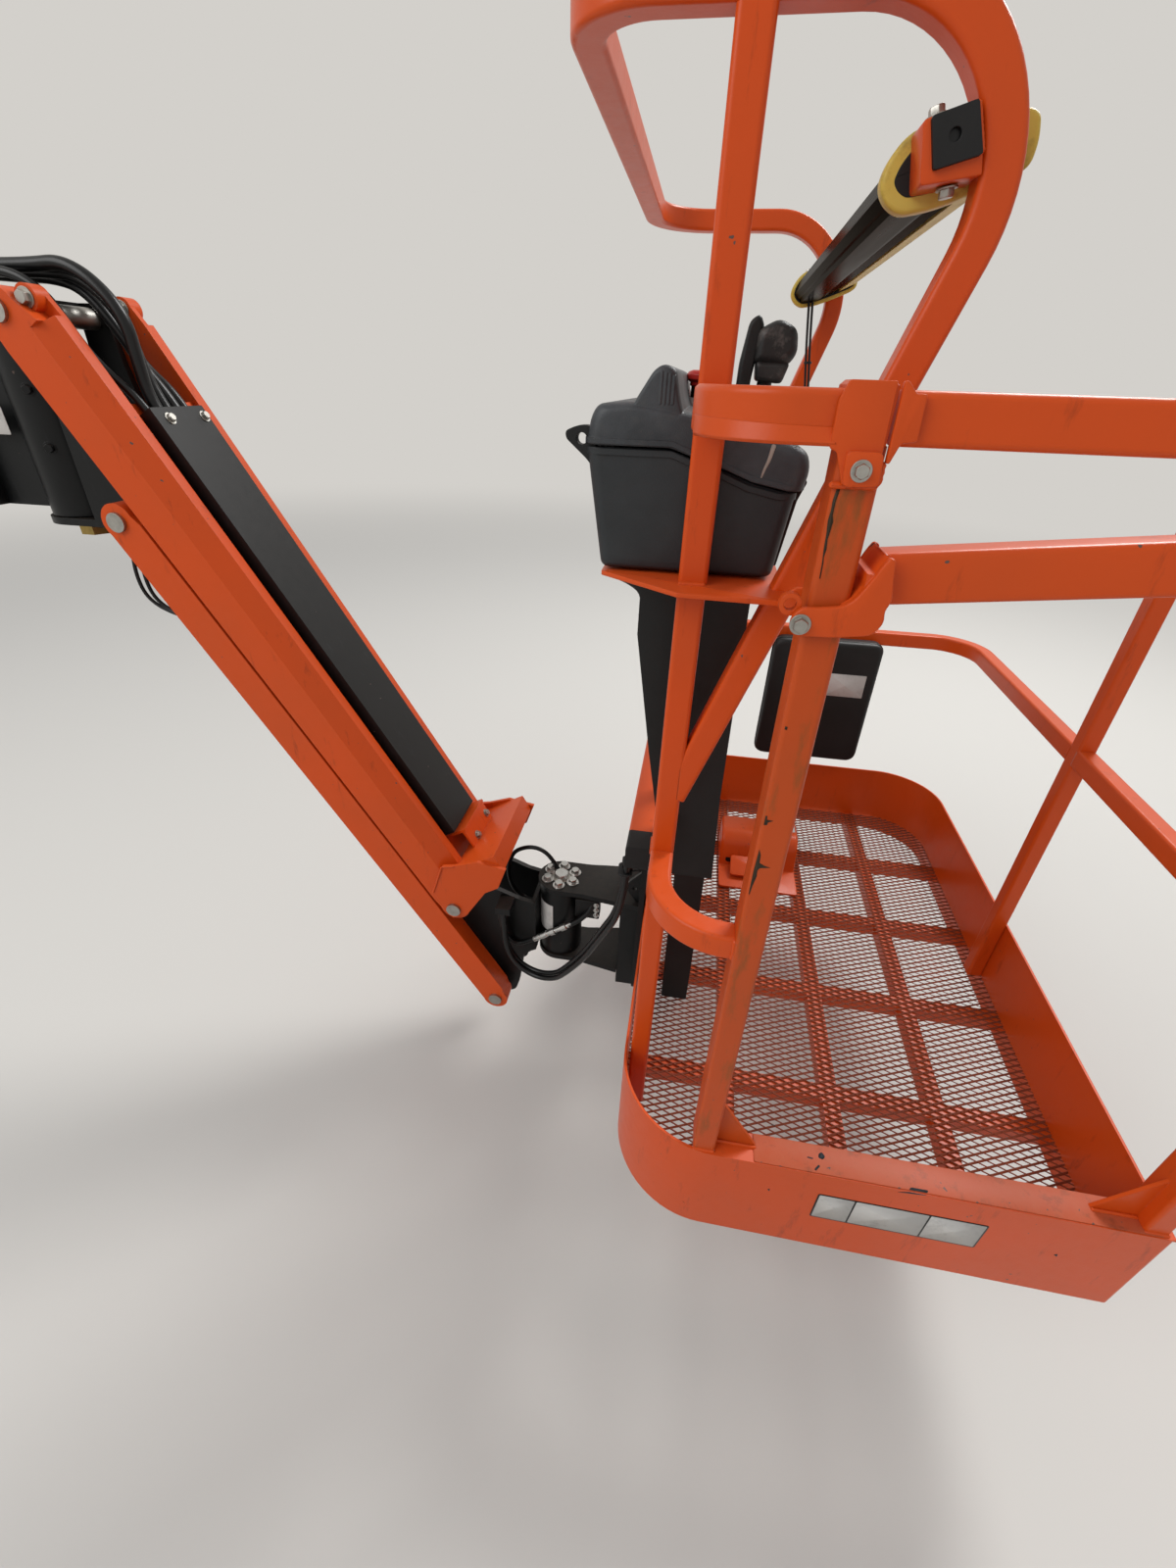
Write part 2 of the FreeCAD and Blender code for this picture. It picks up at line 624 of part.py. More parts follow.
def turner_arm(label, reach, z):
    """One plate that holds the rotator's shaft, widening towards the platform."""
    corners = [(TURN_X - ARM_HALF, -ARM_HALF, ARM_HALF - 1), (TURN_X + 60, -ARM_HALF, 40),
               (reach, -ARM_HALF - 16, 0), (reach, ARM_HALF + 16, 0),
               (TURN_X + 60, ARM_HALF, 40), (TURN_X - ARM_HALF, ARM_HALF, ARM_HALF - 1)]
    return node(plate(label + "_flat", "XY_Plane", corners, "dims.plate_thick", Vector(0, 0, z),
                      [(TURN_X, 0, size("shaft_radius"))]), label)


turner_arm("rotator_top_arm", plate_face, top_arm_low + PLATE / 2)
turner_arm("rotator_bottom_arm", BOX_X, bottom_arm_top - PLATE / 2)
node(rod("turn_shaft_round", "dims.shaft_radius",
         "dims.turn_top - dims.turn_bottom + 2 * dims.plate_thick + 4",
         Vector(TURN_X, 0, bottom_arm_top - PLATE), UP),
     "rotator_shaft")
TOP_BOLTS = 6
BOLT_RING = 28.0
arm_face = Vector(TURN_X, 0, top_arm_low + PLATE)
ring = [bolt_shape(30, 10, arm_face, UP)]
for count in range(TOP_BOLTS):
    turn = math.radians(30 + 60 * count)
    ring.append(bolt_shape(13, 7, arm_face + Vector(math.cos(turn), math.sin(turn), 0)
                           * (BOLT_RING + 4), UP))
feature("rotator_bolts", Part.makeCompound(ring))
TUBE_TOP = 430.0
TUBE_HALF = 215.0
TUBE_TALL = 46.0
TUBE_WIDE = 44.0
plate_top = FLOOR + TUBE_TOP - TUBE_TALL
support_flat = plate("support_plate_flat", "YZ_Plane",
                     [(-110, FLOOR - 110, 20), (110, FLOOR - 110, 20), (110, FLOOR + 160, 40),
                      (60, plate_top, 0), (-60, plate_top, 0),
                      (-110, FLOOR + 160, 40)], "dims.plate_thick", Vector(support_x, 0, 0))
BOX_LOW = -1313.0
BOX_HALF = 60.0
support_parts = [support_flat]
support_parts.append(block("support_box", (plate_face - BOX_X, 2 * BOX_HALF, top_arm_low - BOX_LOW),
                           Vector(BOX_X, -BOX_HALF, BOX_LOW)))
ear_corners = [(plate_face, -965, 0), (1362, -992, 6), (1355, -1003, 6), (1358, -1020, 6),
               (1378, top_arm_low + PLATE, 0), (plate_face, top_arm_low + PLATE, 0)]
for word, y in (("near", -50), ("far", 50)):
    support_parts.append(plate(f"support_ear_{word}", "XZ_Plane", ear_corners, 8,
                               Vector(0, y, 0), [(1373, -1012, 5)]))
node(join("support_weld", support_parts), "support_plate")
TUBE_X = LEFT - 16
tube_z = FLOOR + TUBE_TOP - TUBE_TALL / 2
feature("support_tube", bent_tube([(TUBE_X, -TUBE_HALF, tube_z), (TUBE_X, TUBE_HALF, tube_z)],
                                  (), (1, 0, 0), TUBE_WIDE, TUBE_TALL))
CAP_LONG = 50.0
caps = [bent_tube([(TUBE_X, side * TUBE_HALF, tube_z), (TUBE_X, side * (TUBE_HALF + CAP_LONG), tube_z)],
                  (), (1, 0, 0), TUBE_WIDE, TUBE_TALL) for side in (-1, 1)]
feature("tube_caps", Part.makeCompound(caps))

# Platform: floor frame, mesh, kick boards
BOARD_TOP = size("board_top")
BOARD_BOTTOM = size("board_bottom")
BOARD_THICK = size("board_thick")
CORNER = size("board_corner")
SILL = size("sill_flange")


def platform_outline(inset):
    """The platform's plan: rounded at all corners but the near right one."""
    round_corner = CORNER - inset
    return [(LEFT + inset, NEAR + inset, round_corner), (RIGHT - inset, NEAR + inset, 8),
            (RIGHT - inset, FAR - inset, round_corner), (LEFT + inset, FAR - inset, round_corner)]


def plan_face(inset, z):
    """The platform's plan as a face at a height."""
    wire = Part.Wire([edge.toShape() for edge in outline(platform_outline(inset))])
    face = Part.Face(wire)
    face.translate(Vector(0, 0, z))
    return face


board_tall = BOARD_TOP + BOARD_BOTTOM
board = plan_face(0, FLOOR - BOARD_BOTTOM).extrude(UP * board_tall)
board = board.cut(plan_face(BOARD_THICK, FLOOR - BOARD_BOTTOM).extrude(UP * board_tall))
sill = Part.makeBox(WIDE - CORNER, SILL, BOARD_THICK, at(CORNER, 1, BOARD_TOP - BOARD_THICK))
feature("kick_board", board.fuse(sill).removeSplitter())

BEAM_WIDE = 30.0
BEAM_TALL = 28.0
MESH_THICK = 4.0
frame_bars = []
for share in (0.25, 0.5, 0.75):
    frame_bars.append(Part.makeBox(BEAM_WIDE, LONG - 2 * BOARD_THICK, BEAM_TALL,
                                   at(WIDE * share - BEAM_WIDE / 2, BOARD_THICK,
                                      -MESH_THICK - BEAM_TALL)))
for share in (0.2, 0.4, 0.6, 0.8):
    frame_bars.append(Part.makeBox(WIDE - 2 * BOARD_THICK, BEAM_WIDE, BEAM_TALL,
                                   at(BOARD_THICK, LONG * share - BEAM_WIDE / 2,
                                      -MESH_THICK - BEAM_TALL)))
feature("floor_frame", weld(frame_bars))
feature("floor_mesh", plan_face(BOARD_THICK + 0.5, FLOOR - MESH_THICK).extrude(UP * MESH_THICK))

# Posts and rails
TUBE = size("tube_wide")
TALL = size("tube_tall")
RAIL = size("rail_height")
MID = size("mid_height")
POST_IN = size("post_in")
POST_WIDE = size("post_wide")
POST_DEEP = size("post_deep")
half_tube = TUBE / 2
BOARD_IN = BOARD_THICK + half_tube
SIDE_X = 25.0
HOOP_Z = size("hoop_top")
HOOP_NEAR = size("hoop_near")
HOOP_FAR = size("hoop_far")
RAIL_START = 520.0


def upright(label, x, y, bottom, top):
    """A straight tube post at a place on the platform, between two heights."""
    return feature(label, bent_tube([at(x, y, bottom), at(x, y, top)], (), (1, 0, 0), TUBE, TUBE))


upright("corner_post", SIDE_X, HOOP_NEAR, 0, HOOP_Z - half_tube)
upright("far_corner_post", SIDE_X, HOOP_FAR, 0, RAIL - TALL)
upright("console_side_post", SIDE_X, RAIL_START + half_tube, 0, RAIL - TALL)
upright("right_post", WIDE - BOARD_IN, LONG * 0.5, 0, RAIL - TALL)
GATE_Y = POST_DEEP / 2 + 5
left_gate_x = POST_IN + POST_WIDE / 2
right_gate_x = WIDE - half_tube - 8
GUSSET_WIDE = 62.0
GUSSET_TALL = 95.0
GUSSET_Y = 24.0
for label, x, side in (("gate_post_left", left_gate_x, 1), ("gate_post_right", right_gate_x, -1)):
    post = bent_tube([at(x, GATE_Y, BOARD_TOP), at(x, GATE_Y, RAIL - TALL)], (), (1, 0, 0),
                     POST_WIDE, POST_DEEP)
    edge = x + side * (POST_WIDE / 2 - 2)
    gusset = prism([at(edge, GUSSET_Y, BOARD_TOP), at(edge + side * GUSSET_WIDE, GUSSET_Y, BOARD_TOP),
                    at(edge, GUSSET_Y, BOARD_TOP + GUSSET_TALL)], ACROSS * 5)
    feature(label, weld([post, gusset]))

mid_z = MID - TALL / 2
MID_Y = half_tube + 12
mid_points = [at(left_gate_x - POST_WIDE / 2, MID_Y, mid_z), at(SIDE_X, MID_Y, mid_z),
              at(SIDE_X, HOOP_NEAR - half_tube, mid_z)]
feature("mid_rail_corner", bent_tube(mid_points, (88,), (0, 1, 0), TUBE, TALL))
mid_points = [at(SIDE_X, HOOP_NEAR + half_tube, mid_z), at(SIDE_X, LONG - BOARD_IN, mid_z),
              at(WIDE - BOARD_IN, LONG - BOARD_IN, mid_z), at(WIDE - BOARD_IN, 60, mid_z)]
feature("mid_rail", bent_tube(mid_points, (100, 100), (1, 0, 0), TUBE, TALL),
        ("far_corner_post", "console_side_post", "right_post"))
top_z = RAIL - TALL / 2
top_points = [at(SIDE_X, RAIL_START, top_z), at(SIDE_X, LONG - BOARD_IN, top_z),
              at(WIDE - BOARD_IN, LONG - BOARD_IN, top_z), at(WIDE - BOARD_IN, BOARD_IN, top_z),
              at(left_gate_x + 20, BOARD_IN, top_z)]
SLEEVE_LEFT = 114.0
SLEEVE_NEAR = 1.0
SLEEVE_WIDE = 33.0
SLEEVE_DEEP = 40.0
SLEEVE_TALL = 39.0
sleeve = Part.makeBox(SLEEVE_WIDE, SLEEVE_DEEP, SLEEVE_TALL, at(SLEEVE_LEFT, SLEEVE_NEAR, RAIL - TALL))
feature("gate_post_sleeve", sleeve.makeChamfer(3, [edge for edge in sleeve.Edges
                                                   if edge.BoundBox.ZMin > FLOOR + RAIL + 4]))
feature("top_rail", bent_tube(top_points, (100, 100, 100), (1, 0, 0), TUBE, TALL),
        ("gate_post_sleeve",))
left_points = [at(SIDE_X, HOOP_NEAR - half_tube, top_z), at(SIDE_X, BOARD_IN, top_z),
               at(SLEEVE_LEFT, BOARD_IN, top_z)]
feature("top_rail_left", bent_tube(left_points, (60,), (1, 0, 0), TUBE, TALL))

# Hoop over the console: a leaning leg at each end, a top run and a run along the outside
hoop_slope = size("hoop_lean")
hoop_left = -size("hoop_out")
leg_x = SIDE_X + 20
LEG_MIDDLE = 741.0
LEG_X_THERE = 60.0
leg_low = LEG_MIDDLE + (leg_x - LEG_X_THERE) / hoop_slope - 40
leg_foot_x = LEG_X_THERE + hoop_slope * (leg_low - LEG_MIDDLE)
leg_head_x = LEG_X_THERE + hoop_slope * (HOOP_Z - LEG_MIDDLE)
hoop_points = [at(leg_foot_x, HOOP_NEAR, leg_low), at(leg_head_x, HOOP_NEAR, HOOP_Z),
               at(hoop_left, HOOP_NEAR, HOOP_Z), at(hoop_left, HOOP_FAR, HOOP_Z),
               at(leg_head_x, HOOP_FAR, HOOP_Z), at(leg_foot_x, HOOP_FAR, leg_low)]
feature("console_hoop", bent_tube(hoop_points, (118, 62, 95, 118), (0, 1, 0), TUBE, TUBE),
        ("corner_post", "far_corner_post"))

# Sensor bar between the hoop's legs, on a bracket, with a rounded cap at each end
SENSOR_NEAR = 206.0
SENSOR_FAR = 934.0
CAP_LONG_Y = 16.0


def hoop_slice(profile, near, far):
    """A piece on the hoop: its outline in X and Z, carried from one depth to another."""
    return prism([at(x, near, z) for x, z in profile], ACROSS * (far - near))


feature("sensor_bar", hoop_slice([(144, 1238), (149, 1256), (159, 1265), (229, 1274), (238, 1270),
                                  (241, 1254), (182, 1229), (156, 1226)], SENSOR_NEAR, SENSOR_FAR))
cap_outline = [(136.5, 1237), (139, 1250), (147, 1263), (157, 1270.5), (236, 1281), (243, 1277),
               (247, 1263), (246, 1249), (238, 1243), (208, 1231.7), (182, 1223), (157, 1219),
               (144, 1226)]
feature("sensor_caps", Part.makeCompound([
    hoop_slice(cap_outline, SENSOR_NEAR - CAP_LONG_Y, SENSOR_NEAR),
    hoop_slice(cap_outline, SENSOR_FAR, SENSOR_FAR + CAP_LONG_Y)]))
bracket_outline = [(161, 1230), (153, 1266), (187, 1276), (206, 1280), (212, 1238)]
feature("sensor_brackets", Part.makeCompound([
    hoop_slice(bracket_outline, 155, SENSOR_NEAR - CAP_LONG_Y),
    hoop_slice(bracket_outline, SENSOR_FAR + CAP_LONG_Y, HOOP_FAR + half_tube)]),
        ("console_hoop",))

# Console: shelf, pedestal, box, lid with its knob and button
SHELF_TOP = 923.0
shelf = prism([at(11, 140, SHELF_TOP - 5), at(11, 122, SHELF_TOP - 5), at(118, 118, SHELF_TOP - 5),
               at(118, 540, SHELF_TOP - 5), at(-75, 540, SHELF_TOP - 5),
               at(-52, 188, SHELF_TOP - 5)], UP * 5)
feature("console_shelf", shelf, ("corner_post", "console_hoop", "console_side_post"))


def console_slice(profile, near, far):
    """A console piece: its outline in X and Z, carried from one depth to another."""
    return prism([at(x, near, z) for x, z in profile], ACROSS * (far - near))


shelf_low = SHELF_TOP - 5
column = console_slice([(-37, shelf_low), (-37, 830), (-9, 660), (30, 450), (105, 450), (98, 600),
                        (95, shelf_low)], 260, 430)
foot_column = console_slice([(56, 0), (108, 0), (105, 460), (50, 460)], 400, 470)
feature("console_pedestal", weld([column, foot_column]), ("mid_rail",))
BOX_NEAR = 192.0
BOX_FAR = 500.0
feature("console_box", console_slice([(-76, SHELF_TOP), (107, SHELF_TOP), (118, 1009), (82, 1015.5),
                                      (43, 1027.5), (10, 1036), (-14, 1043), (-97, 1043)],
                                     BOX_NEAR, BOX_FAR))
feature("console_lid", console_slice([(-95, 1046), (-92, 1070), (-86, 1080), (-51, 1084), (-33, 1110),
                                      (-24, 1115), (-12, 1112), (-6, 1085), (8, 1075), (60, 1063),
                                      (103, 1054), (120, 1049), (126, 1040), (127, 1022),
                                      (122, 1012), (82, 1018.5), (43, 1030.5), (10, 1039),
                                      (-14, 1046)], BOX_NEAR - 4, BOX_FAR + 4))
STICK_Y = 330.0
knob = console_slice([(66, 1110), (97, 1106), (106, 1128), (104, 1150), (80, 1159), (65, 1148)],
                     STICK_Y - 21, STICK_Y + 21)
guard = console_slice([(49, 1064), (49, 1148), (54, 1162), (61, 1160), (61, 1062)],
                      STICK_Y - 13, STICK_Y + 13)
feature("joystick", Part.makeCompound([
    weld([knob, cylinder_shape(8, at(76, STICK_Y, 1050), at(78, STICK_Y, 1112))]), guard]),
        ("console_lid",))
feature("stop_button", weld([cylinder_shape(12, at(6, 430, 1066), at(7, 430, 1093)),
                             cylinder_shape(18, at(7, 430, 1093), at(8, 430, 1106))]),
        ("console_lid",))

feature("manual_box", Part.makeBox(278, 50, 340, at(245, 1125, 215)))
feature("foot_switch", Part.makeBox(200, 210, 92, at(175, 775, 0)))

# Sliding gate bar, raised and slanting as it was left, with a yoke round each gate post
BAR_Z = size("bar_height")
BAR_CENTRE = 276.0
BAR_TALL = size("bar_tall")
bar_slope = math.tan(math.radians(size("bar_tilt")))
YOKE_SHEET = 6.0
bar_start = 172.0
bar_end = WIDE - 62
bar_y = GATE_Y
bar = bent_tube([at(bar_start, bar_y, BAR_Z + (bar_start - BAR_CENTRE) * bar_slope),
                 at(bar_end, bar_y, BAR_Z + (bar_end - BAR_CENTRE) * bar_slope)], (), (0, 1, 0),
                TUBE, BAR_TALL)
# Each yoke's plate outline is given from its post's left edge and the bar's height there
yoke_plate_corners = [(-10.6, -43.7), (-10.6, -27), (-3, -21.7), (28.6, -18.7), (35.7, -10.5),
                      (40.5, -1), (42, 11), (36, 24), (48.7, 23), (53.2, 18), (53.2, -1.7),
                      (58.5, -28.7), (52.3, -40), (27, -44.4)]
yokes = []
for left, flip in ((left_gate_x - POST_WIDE / 2, 1), (right_gate_x + POST_WIDE / 2, -1)):
    height = BAR_Z + (left + flip * 60 - BAR_CENTRE) * bar_slope
    for y in (1 - YOKE_SHEET, 2 * GATE_Y):
        yokes.append(prism([at(left + flip * x, y, height + z) for x, z in yoke_plate_corners],
                           ACROSS * YOKE_SHEET))
    inside = left + flip * (POST_WIDE + 6)
    tie_low = min(inside, inside + flip * 20)
    yokes.append(Part.makeBox(20, 2 * GATE_Y + YOKE_SHEET - 1, 24,
                              at(tie_low, -YOKE_SHEET + 1, height - 18)))
feature("gate_bar", weld([bar] + yokes))

# Hoses: along the boom's head, over the jib pin into the cover, and the loops at both ends
# Each hose: its place across, its lift above the clamp and its radius
HOSES = [(-54, 0, 7), (-32, 8, 10), (-10, 4, 9), (12, 0, 9), (34, 0, 8)]
CLAMP_AT = 299.0
CLAMP_Z = 54.0
bundle_start = BULK_X + PLATE
boom_run = [(bundle_start, 75), (112, 75), (175, 68), (238, CLAMP_Z), (CLAMP_AT, CLAMP_Z)]
feature("boom_hoses", Part.makeCompound([round_hose([Vector(x, y, z + lift) for x, z in boom_run], radius)
                                         for y, lift, radius in HOSES]))
# Each one's own arc over the jib's pin, then into the cover, along the jib and above it
OVER_PIN = [[(342, 54), (394, 24)], [(352, 62), (432, 68), (498, 8)],
            [(350, 58), (420, 54), (476, 2)], [(346, 54), (404, 38), (446, -24)],
            [(344, 54), (396, 30), (434, -34)]]
INTO_COVER = [[(60, 33), (115, 43), (158, 61), (200, 63)], [(120, 86), (162, 64), (200, 62)],
              [(118, 72), (165, 63), (200, 62)], [(112, 57), (158, 64), (200, 63)],
              [(108, 47), (156, 63), (200, 62)]]
jib_hose_shapes = []
for (y, lift, radius), over, into in zip(HOSES, OVER_PIN, INTO_COVER):
    route = [Vector(CLAMP_AT, y, CLAMP_Z + lift)] + [Vector(x, y, z) for x, z in over]
    route += [on_jib(along, above, y) for along, above in into]
    jib_hose_shapes.append(round_hose(route, radius))
feature("jib_hoses", Part.makeCompound(jib_hose_shapes))
LOOP = 6.0
loop_steps = [(0, 0, 0), (4, -15, 0)]
hose_bundle("platform_hoses", [(1077, -85, CLAMP_LOW), (1077, -85, -1168), (1086, -91, -1214),
                               (1116, -100, -1252), (1163, -112, -1262), (1207, -127, -1240),
                               (1234, -143, -1198), (1278, -166, -1118), (1312, -190, -1030),
                               (1362, -238, -890), (1362, -238, tube_z - TUBE_TALL / 2 - 0.05)],
            LOOP, loop_steps)

# Two thin cables from the jib base's lower plate to the lift cylinder's barrel
CABLE = 3.5
CABLE_ENTRY = 215.0
barrel_side = CYLINDER_WAY.cross(ACROSS)
if barrel_side.z > 0:
    barrel_side = barrel_side * -1
cable_end = LINK_UPPER + CYLINDER_WAY * CABLE_ENTRY + barrel_side * 22
cable_runs = []
for step_x, step_y in ((0, 0), (9, 11)):
    places = [(384, -36, yoke_low - 0.05), (384, -36, -345), (372, -40, -400), (380, -40, -452),
              (432, -38, -480), (500, -28, -492)]
    cable_runs.append(round_hose([Vector(x + step_x, y + step_y, z) for x, y, z in places]
                                 + [cable_end + Vector(0, -14 + step_y, 0)], CABLE))
feature("loop_cables", Part.makeCompound(cable_runs), ("lift_barrel",))

# A short hose from the levelling head's web over to the rotator's middle
feature("rotator_hose", round_hose([Vector(x, 24, z) for x, z in (
    (TURN_X - HEAD_INNER - WEB - 0.05, -1160), (1088, -1160), (1066, -1085), (1080, -1008),
    (1116, -970), (1166, -976), (1183, -1012), (1183, top_arm_low + PLATE + 0.05))], 5.0))

doc.recompute()
for item in doc.Objects:
    if "Invalid" in item.State or "Error" in item.State:
        raise RuntimeError(f"{item.Name} did not build: {item.State}")
for item in NODES:
    if item.Shape.isNull() or not item.Shape.isValid():
        raise RuntimeError(f"{item.Label} has no valid shape")
for item in NODES:
    item.Shape.exportStep(f"parts/{item.Label}.step")
print(len(NODES), "sub-parts written")
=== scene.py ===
# %% [markdown]
# # The work platform and jib of a boom lift
# This lesson dresses a CAD model of the far end of a boom lift: the platform that people
# stand in, the folding jib that carries it and the head that pins to the boom. The CAD
# solids give every main shape. Here each one gets the finish of the real steel, chrome or
# plastic, and the pieces that a solid leaves out are added: the expanded steel of the floor,
# smooth hoses, bolts, moulded housings and labels. The CAD model is loaded first, because
# every later piece rides on one of its bodies.

# %% Load the CAD model
import json
import math

import bmesh
import bpy
import numpy as np
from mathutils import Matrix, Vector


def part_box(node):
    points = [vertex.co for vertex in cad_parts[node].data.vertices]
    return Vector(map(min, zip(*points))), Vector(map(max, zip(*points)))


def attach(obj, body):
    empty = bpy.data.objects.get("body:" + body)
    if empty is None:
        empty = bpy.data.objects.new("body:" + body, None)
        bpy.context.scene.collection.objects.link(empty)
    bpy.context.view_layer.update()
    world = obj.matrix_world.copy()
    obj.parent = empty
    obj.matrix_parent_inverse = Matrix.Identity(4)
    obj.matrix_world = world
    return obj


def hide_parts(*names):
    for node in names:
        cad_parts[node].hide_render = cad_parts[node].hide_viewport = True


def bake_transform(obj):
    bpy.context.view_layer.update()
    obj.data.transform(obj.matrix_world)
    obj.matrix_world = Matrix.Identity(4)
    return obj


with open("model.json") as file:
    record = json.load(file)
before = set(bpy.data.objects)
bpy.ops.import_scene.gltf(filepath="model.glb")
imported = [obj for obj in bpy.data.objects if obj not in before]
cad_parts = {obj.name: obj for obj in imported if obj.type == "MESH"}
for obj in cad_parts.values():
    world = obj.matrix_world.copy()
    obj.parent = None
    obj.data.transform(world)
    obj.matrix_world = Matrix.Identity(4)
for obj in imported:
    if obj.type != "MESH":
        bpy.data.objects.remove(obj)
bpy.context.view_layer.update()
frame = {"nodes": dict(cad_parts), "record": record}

# %% [markdown]
# ## Places on the machine
# A maker measures a rail from the platform's corner and a bolt from the jib's pin, not from
# one far origin. Three small functions turn such measurements, in millimetres, into the
# frame's metres: one for the platform, one for the slanting jib and one for the head.

# %% Places
PLATFORM_CORNER = np.array([1.400, -0.605, -1.165])
UPPER_PIN = np.array([0.364, 0.0, 0.0])
JIB_LONG = 1240.0
JIB_DROP = math.radians(60.4)
JIB_ALONG = np.array([math.cos(JIB_DROP), 0.0, -math.sin(JIB_DROP)])
JIB_ABOVE = np.array([math.sin(JIB_DROP), 0.0, math.cos(JIB_DROP)])
WAY_X = np.array([1.0, 0.0, 0.0])
WAY_Y = np.array([0.0, 1.0, 0.0])
WAY_Z = np.array([0.0, 0.0, 1.0])


def on_platform(places):
    """Millimetres from the platform's jib side, entry and floor: corner + mm / 1000."""
    return PLATFORM_CORNER + np.asarray(places, float) / 1000


def on_jib(places):
    """Millimetres along the jib, above its pin line and across: a sum of three directions."""
    steps = np.asarray(places, float) / 1000
    return UPPER_PIN + steps @ np.array([JIB_ALONG, JIB_ABOVE, WAY_Y])


def on_head(places):
    """Millimetres from the boom pin: only divided by 1000."""
    return np.asarray(places, float) / 1000


print("platform corner", on_platform([0, 0, 0]))
print("lower jib pin", on_jib([JIB_LONG, 0, 0]).round(3))

# %% [markdown]
# ## The camera
# The photo was taken with a phone's wide lens by someone beside the entry, looking down into
# the platform. Straight rails in the photo gave the place, the three turns and the lens. The
# lens is written for a film side of 36 mm along the frame's longer side.

# %% Camera
FOCAL_PIXELS = 651.43
FRAME_TALL = 1600
FILM_SIDE = 36.0
CAMERA_PLACE = (1.42775, -1.12968, -0.06551)
yaw = math.radians(-8.815)
pitch = math.radians(32.277)
roll = math.radians(-1.821)
ahead = np.array([math.sin(yaw) * math.cos(pitch), math.cos(yaw) * math.cos(pitch),
                  -math.sin(pitch)])
level_right = np.array([math.cos(yaw), -math.sin(yaw), 0.0])
level_down = np.cross(ahead, level_right)
right = math.cos(roll) * level_right + math.sin(roll) * level_down
down = -math.sin(roll) * level_right + math.cos(roll) * level_down
camera_data = bpy.data.cameras.new("camera")
camera_data.sensor_width = FILM_SIDE
camera_data.lens = FILM_SIDE * FOCAL_PIXELS / FRAME_TALL
camera_data.clip_start = 0.02
camera = bpy.data.objects.new("camera", camera_data)
camera_turn = np.eye(4)
camera_turn[:3] = np.column_stack([right, -down, -ahead, CAMERA_PLACE])
camera.matrix_world = camera_turn.T
bpy.context.scene.collection.objects.link(camera)
bpy.context.scene.camera = camera
print("lens", round(camera_data.lens, 2), "mm, looking along", ahead.round(3))

# %% [markdown]
# ## From arrays to meshes
# Every new piece is a surface worked out in numpy: rings of points, one after the other, with
# quads between them and a flat face at each end. One function makes that skin, one joins
# several skins, and one puts the result in the scene, turned outwards, on the body that it
# rides on and in its finish.

# %% Mesh helpers
def skin(rings):
    """A closed skin over an array (ring, point, 3): quads join neighbours, flats close the ends."""
    count, around = rings.shape[:2]
    index = np.arange(count * around).reshape(count, around)
    turned_index = np.roll(index, -1, axis=1)
    quads = np.stack([index[:-1], turned_index[:-1], turned_index[1:], index[1:]], axis=-1)
    ends = [index[0][::-1].tolist(), index[-1].tolist()]
    return rings.reshape(-1, 3), quads.reshape(-1, 4).tolist() + ends


def gather(parts):
    """Several skins as one: each one's face numbers are raised by the points before it."""
    points = np.concatenate([part[0] for part in parts])
    starts = np.cumsum([0] + [len(part[0]) for part in parts[:-1]])
    faces = [[int(corner + start) for corner in face]
             for (_, part_faces), start in zip(parts, starts) for face in part_faces]
    return points, faces


def show(name, part, body, finish, sharp=35.0):
    """Makes a piece from a skin: outward faces, smooth but for edges sharper than an angle."""
    mesh = bpy.data.meshes.new(name)
    mesh.from_pydata(part[0].tolist(), [], part[1])
    shell = bmesh.new()
    shell.from_mesh(mesh)
    bmesh.ops.recalc_face_normals(shell, faces=shell.faces)
    shell.to_mesh(mesh)
    shell.free()
    mesh.shade_smooth()
    mesh.set_sharp_from_angle(angle=math.radians(sharp))
    mesh.materials.append(finish)
    piece = bpy.data.objects.new(name, mesh)
    bpy.context.scene.collection.objects.link(piece)
    if body is not None:
        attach(piece, body)
    print(name, "faces", len(mesh.polygons))
    return piece


# %% [markdown]
# ## Outlines, plates and runs
# Sheet steel and moulded boxes share one recipe: an outline with rounded corners, given a
# thickness whose edges are drawn in along a quarter circle. Tubes, seams and cables share the
# other: a small outline carried along a line. Both are sums and products of whole arrays, so
# a radius can be changed in one place.

# %% Outlines
# A corner's curve takes at most this share of the shorter side beside it.
MOST_OF_SIDE = 0.48
# A very sharp corner doesn't move inwards by more than this lets it.
LEAST_MITRE = 0.3
NEARLY_ZERO = 1e-9


def rounded(corners, radius, steps=4):
    """Corners replaced by curves: (1-t)^2 A + 2t(1-t) P + t^2 B, with A and B on the sides."""
    corners = np.asarray(corners, float)
    before = np.roll(corners, 1, axis=0) - corners
    after = np.roll(corners, -1, axis=0) - corners
    long_before = np.linalg.norm(before, axis=1, keepdims=True)
    long_after = np.linalg.norm(after, axis=1, keepdims=True)
    radii = np.broadcast_to(np.asarray(radius, float), (len(corners),))[:, None]
    reach = np.minimum(radii, MOST_OF_SIDE * np.minimum(long_before, long_after))
    start = corners + before / long_before * reach
    end = corners + after / long_after * reach
    share = np.linspace(0, 1, steps + 1)[None, :, None]
    curve = ((1 - share) ** 2 * start[:, None] + 2 * share * (1 - share) * corners[:, None]
             + share ** 2 * end[:, None])
    return curve.reshape(-1, 2)


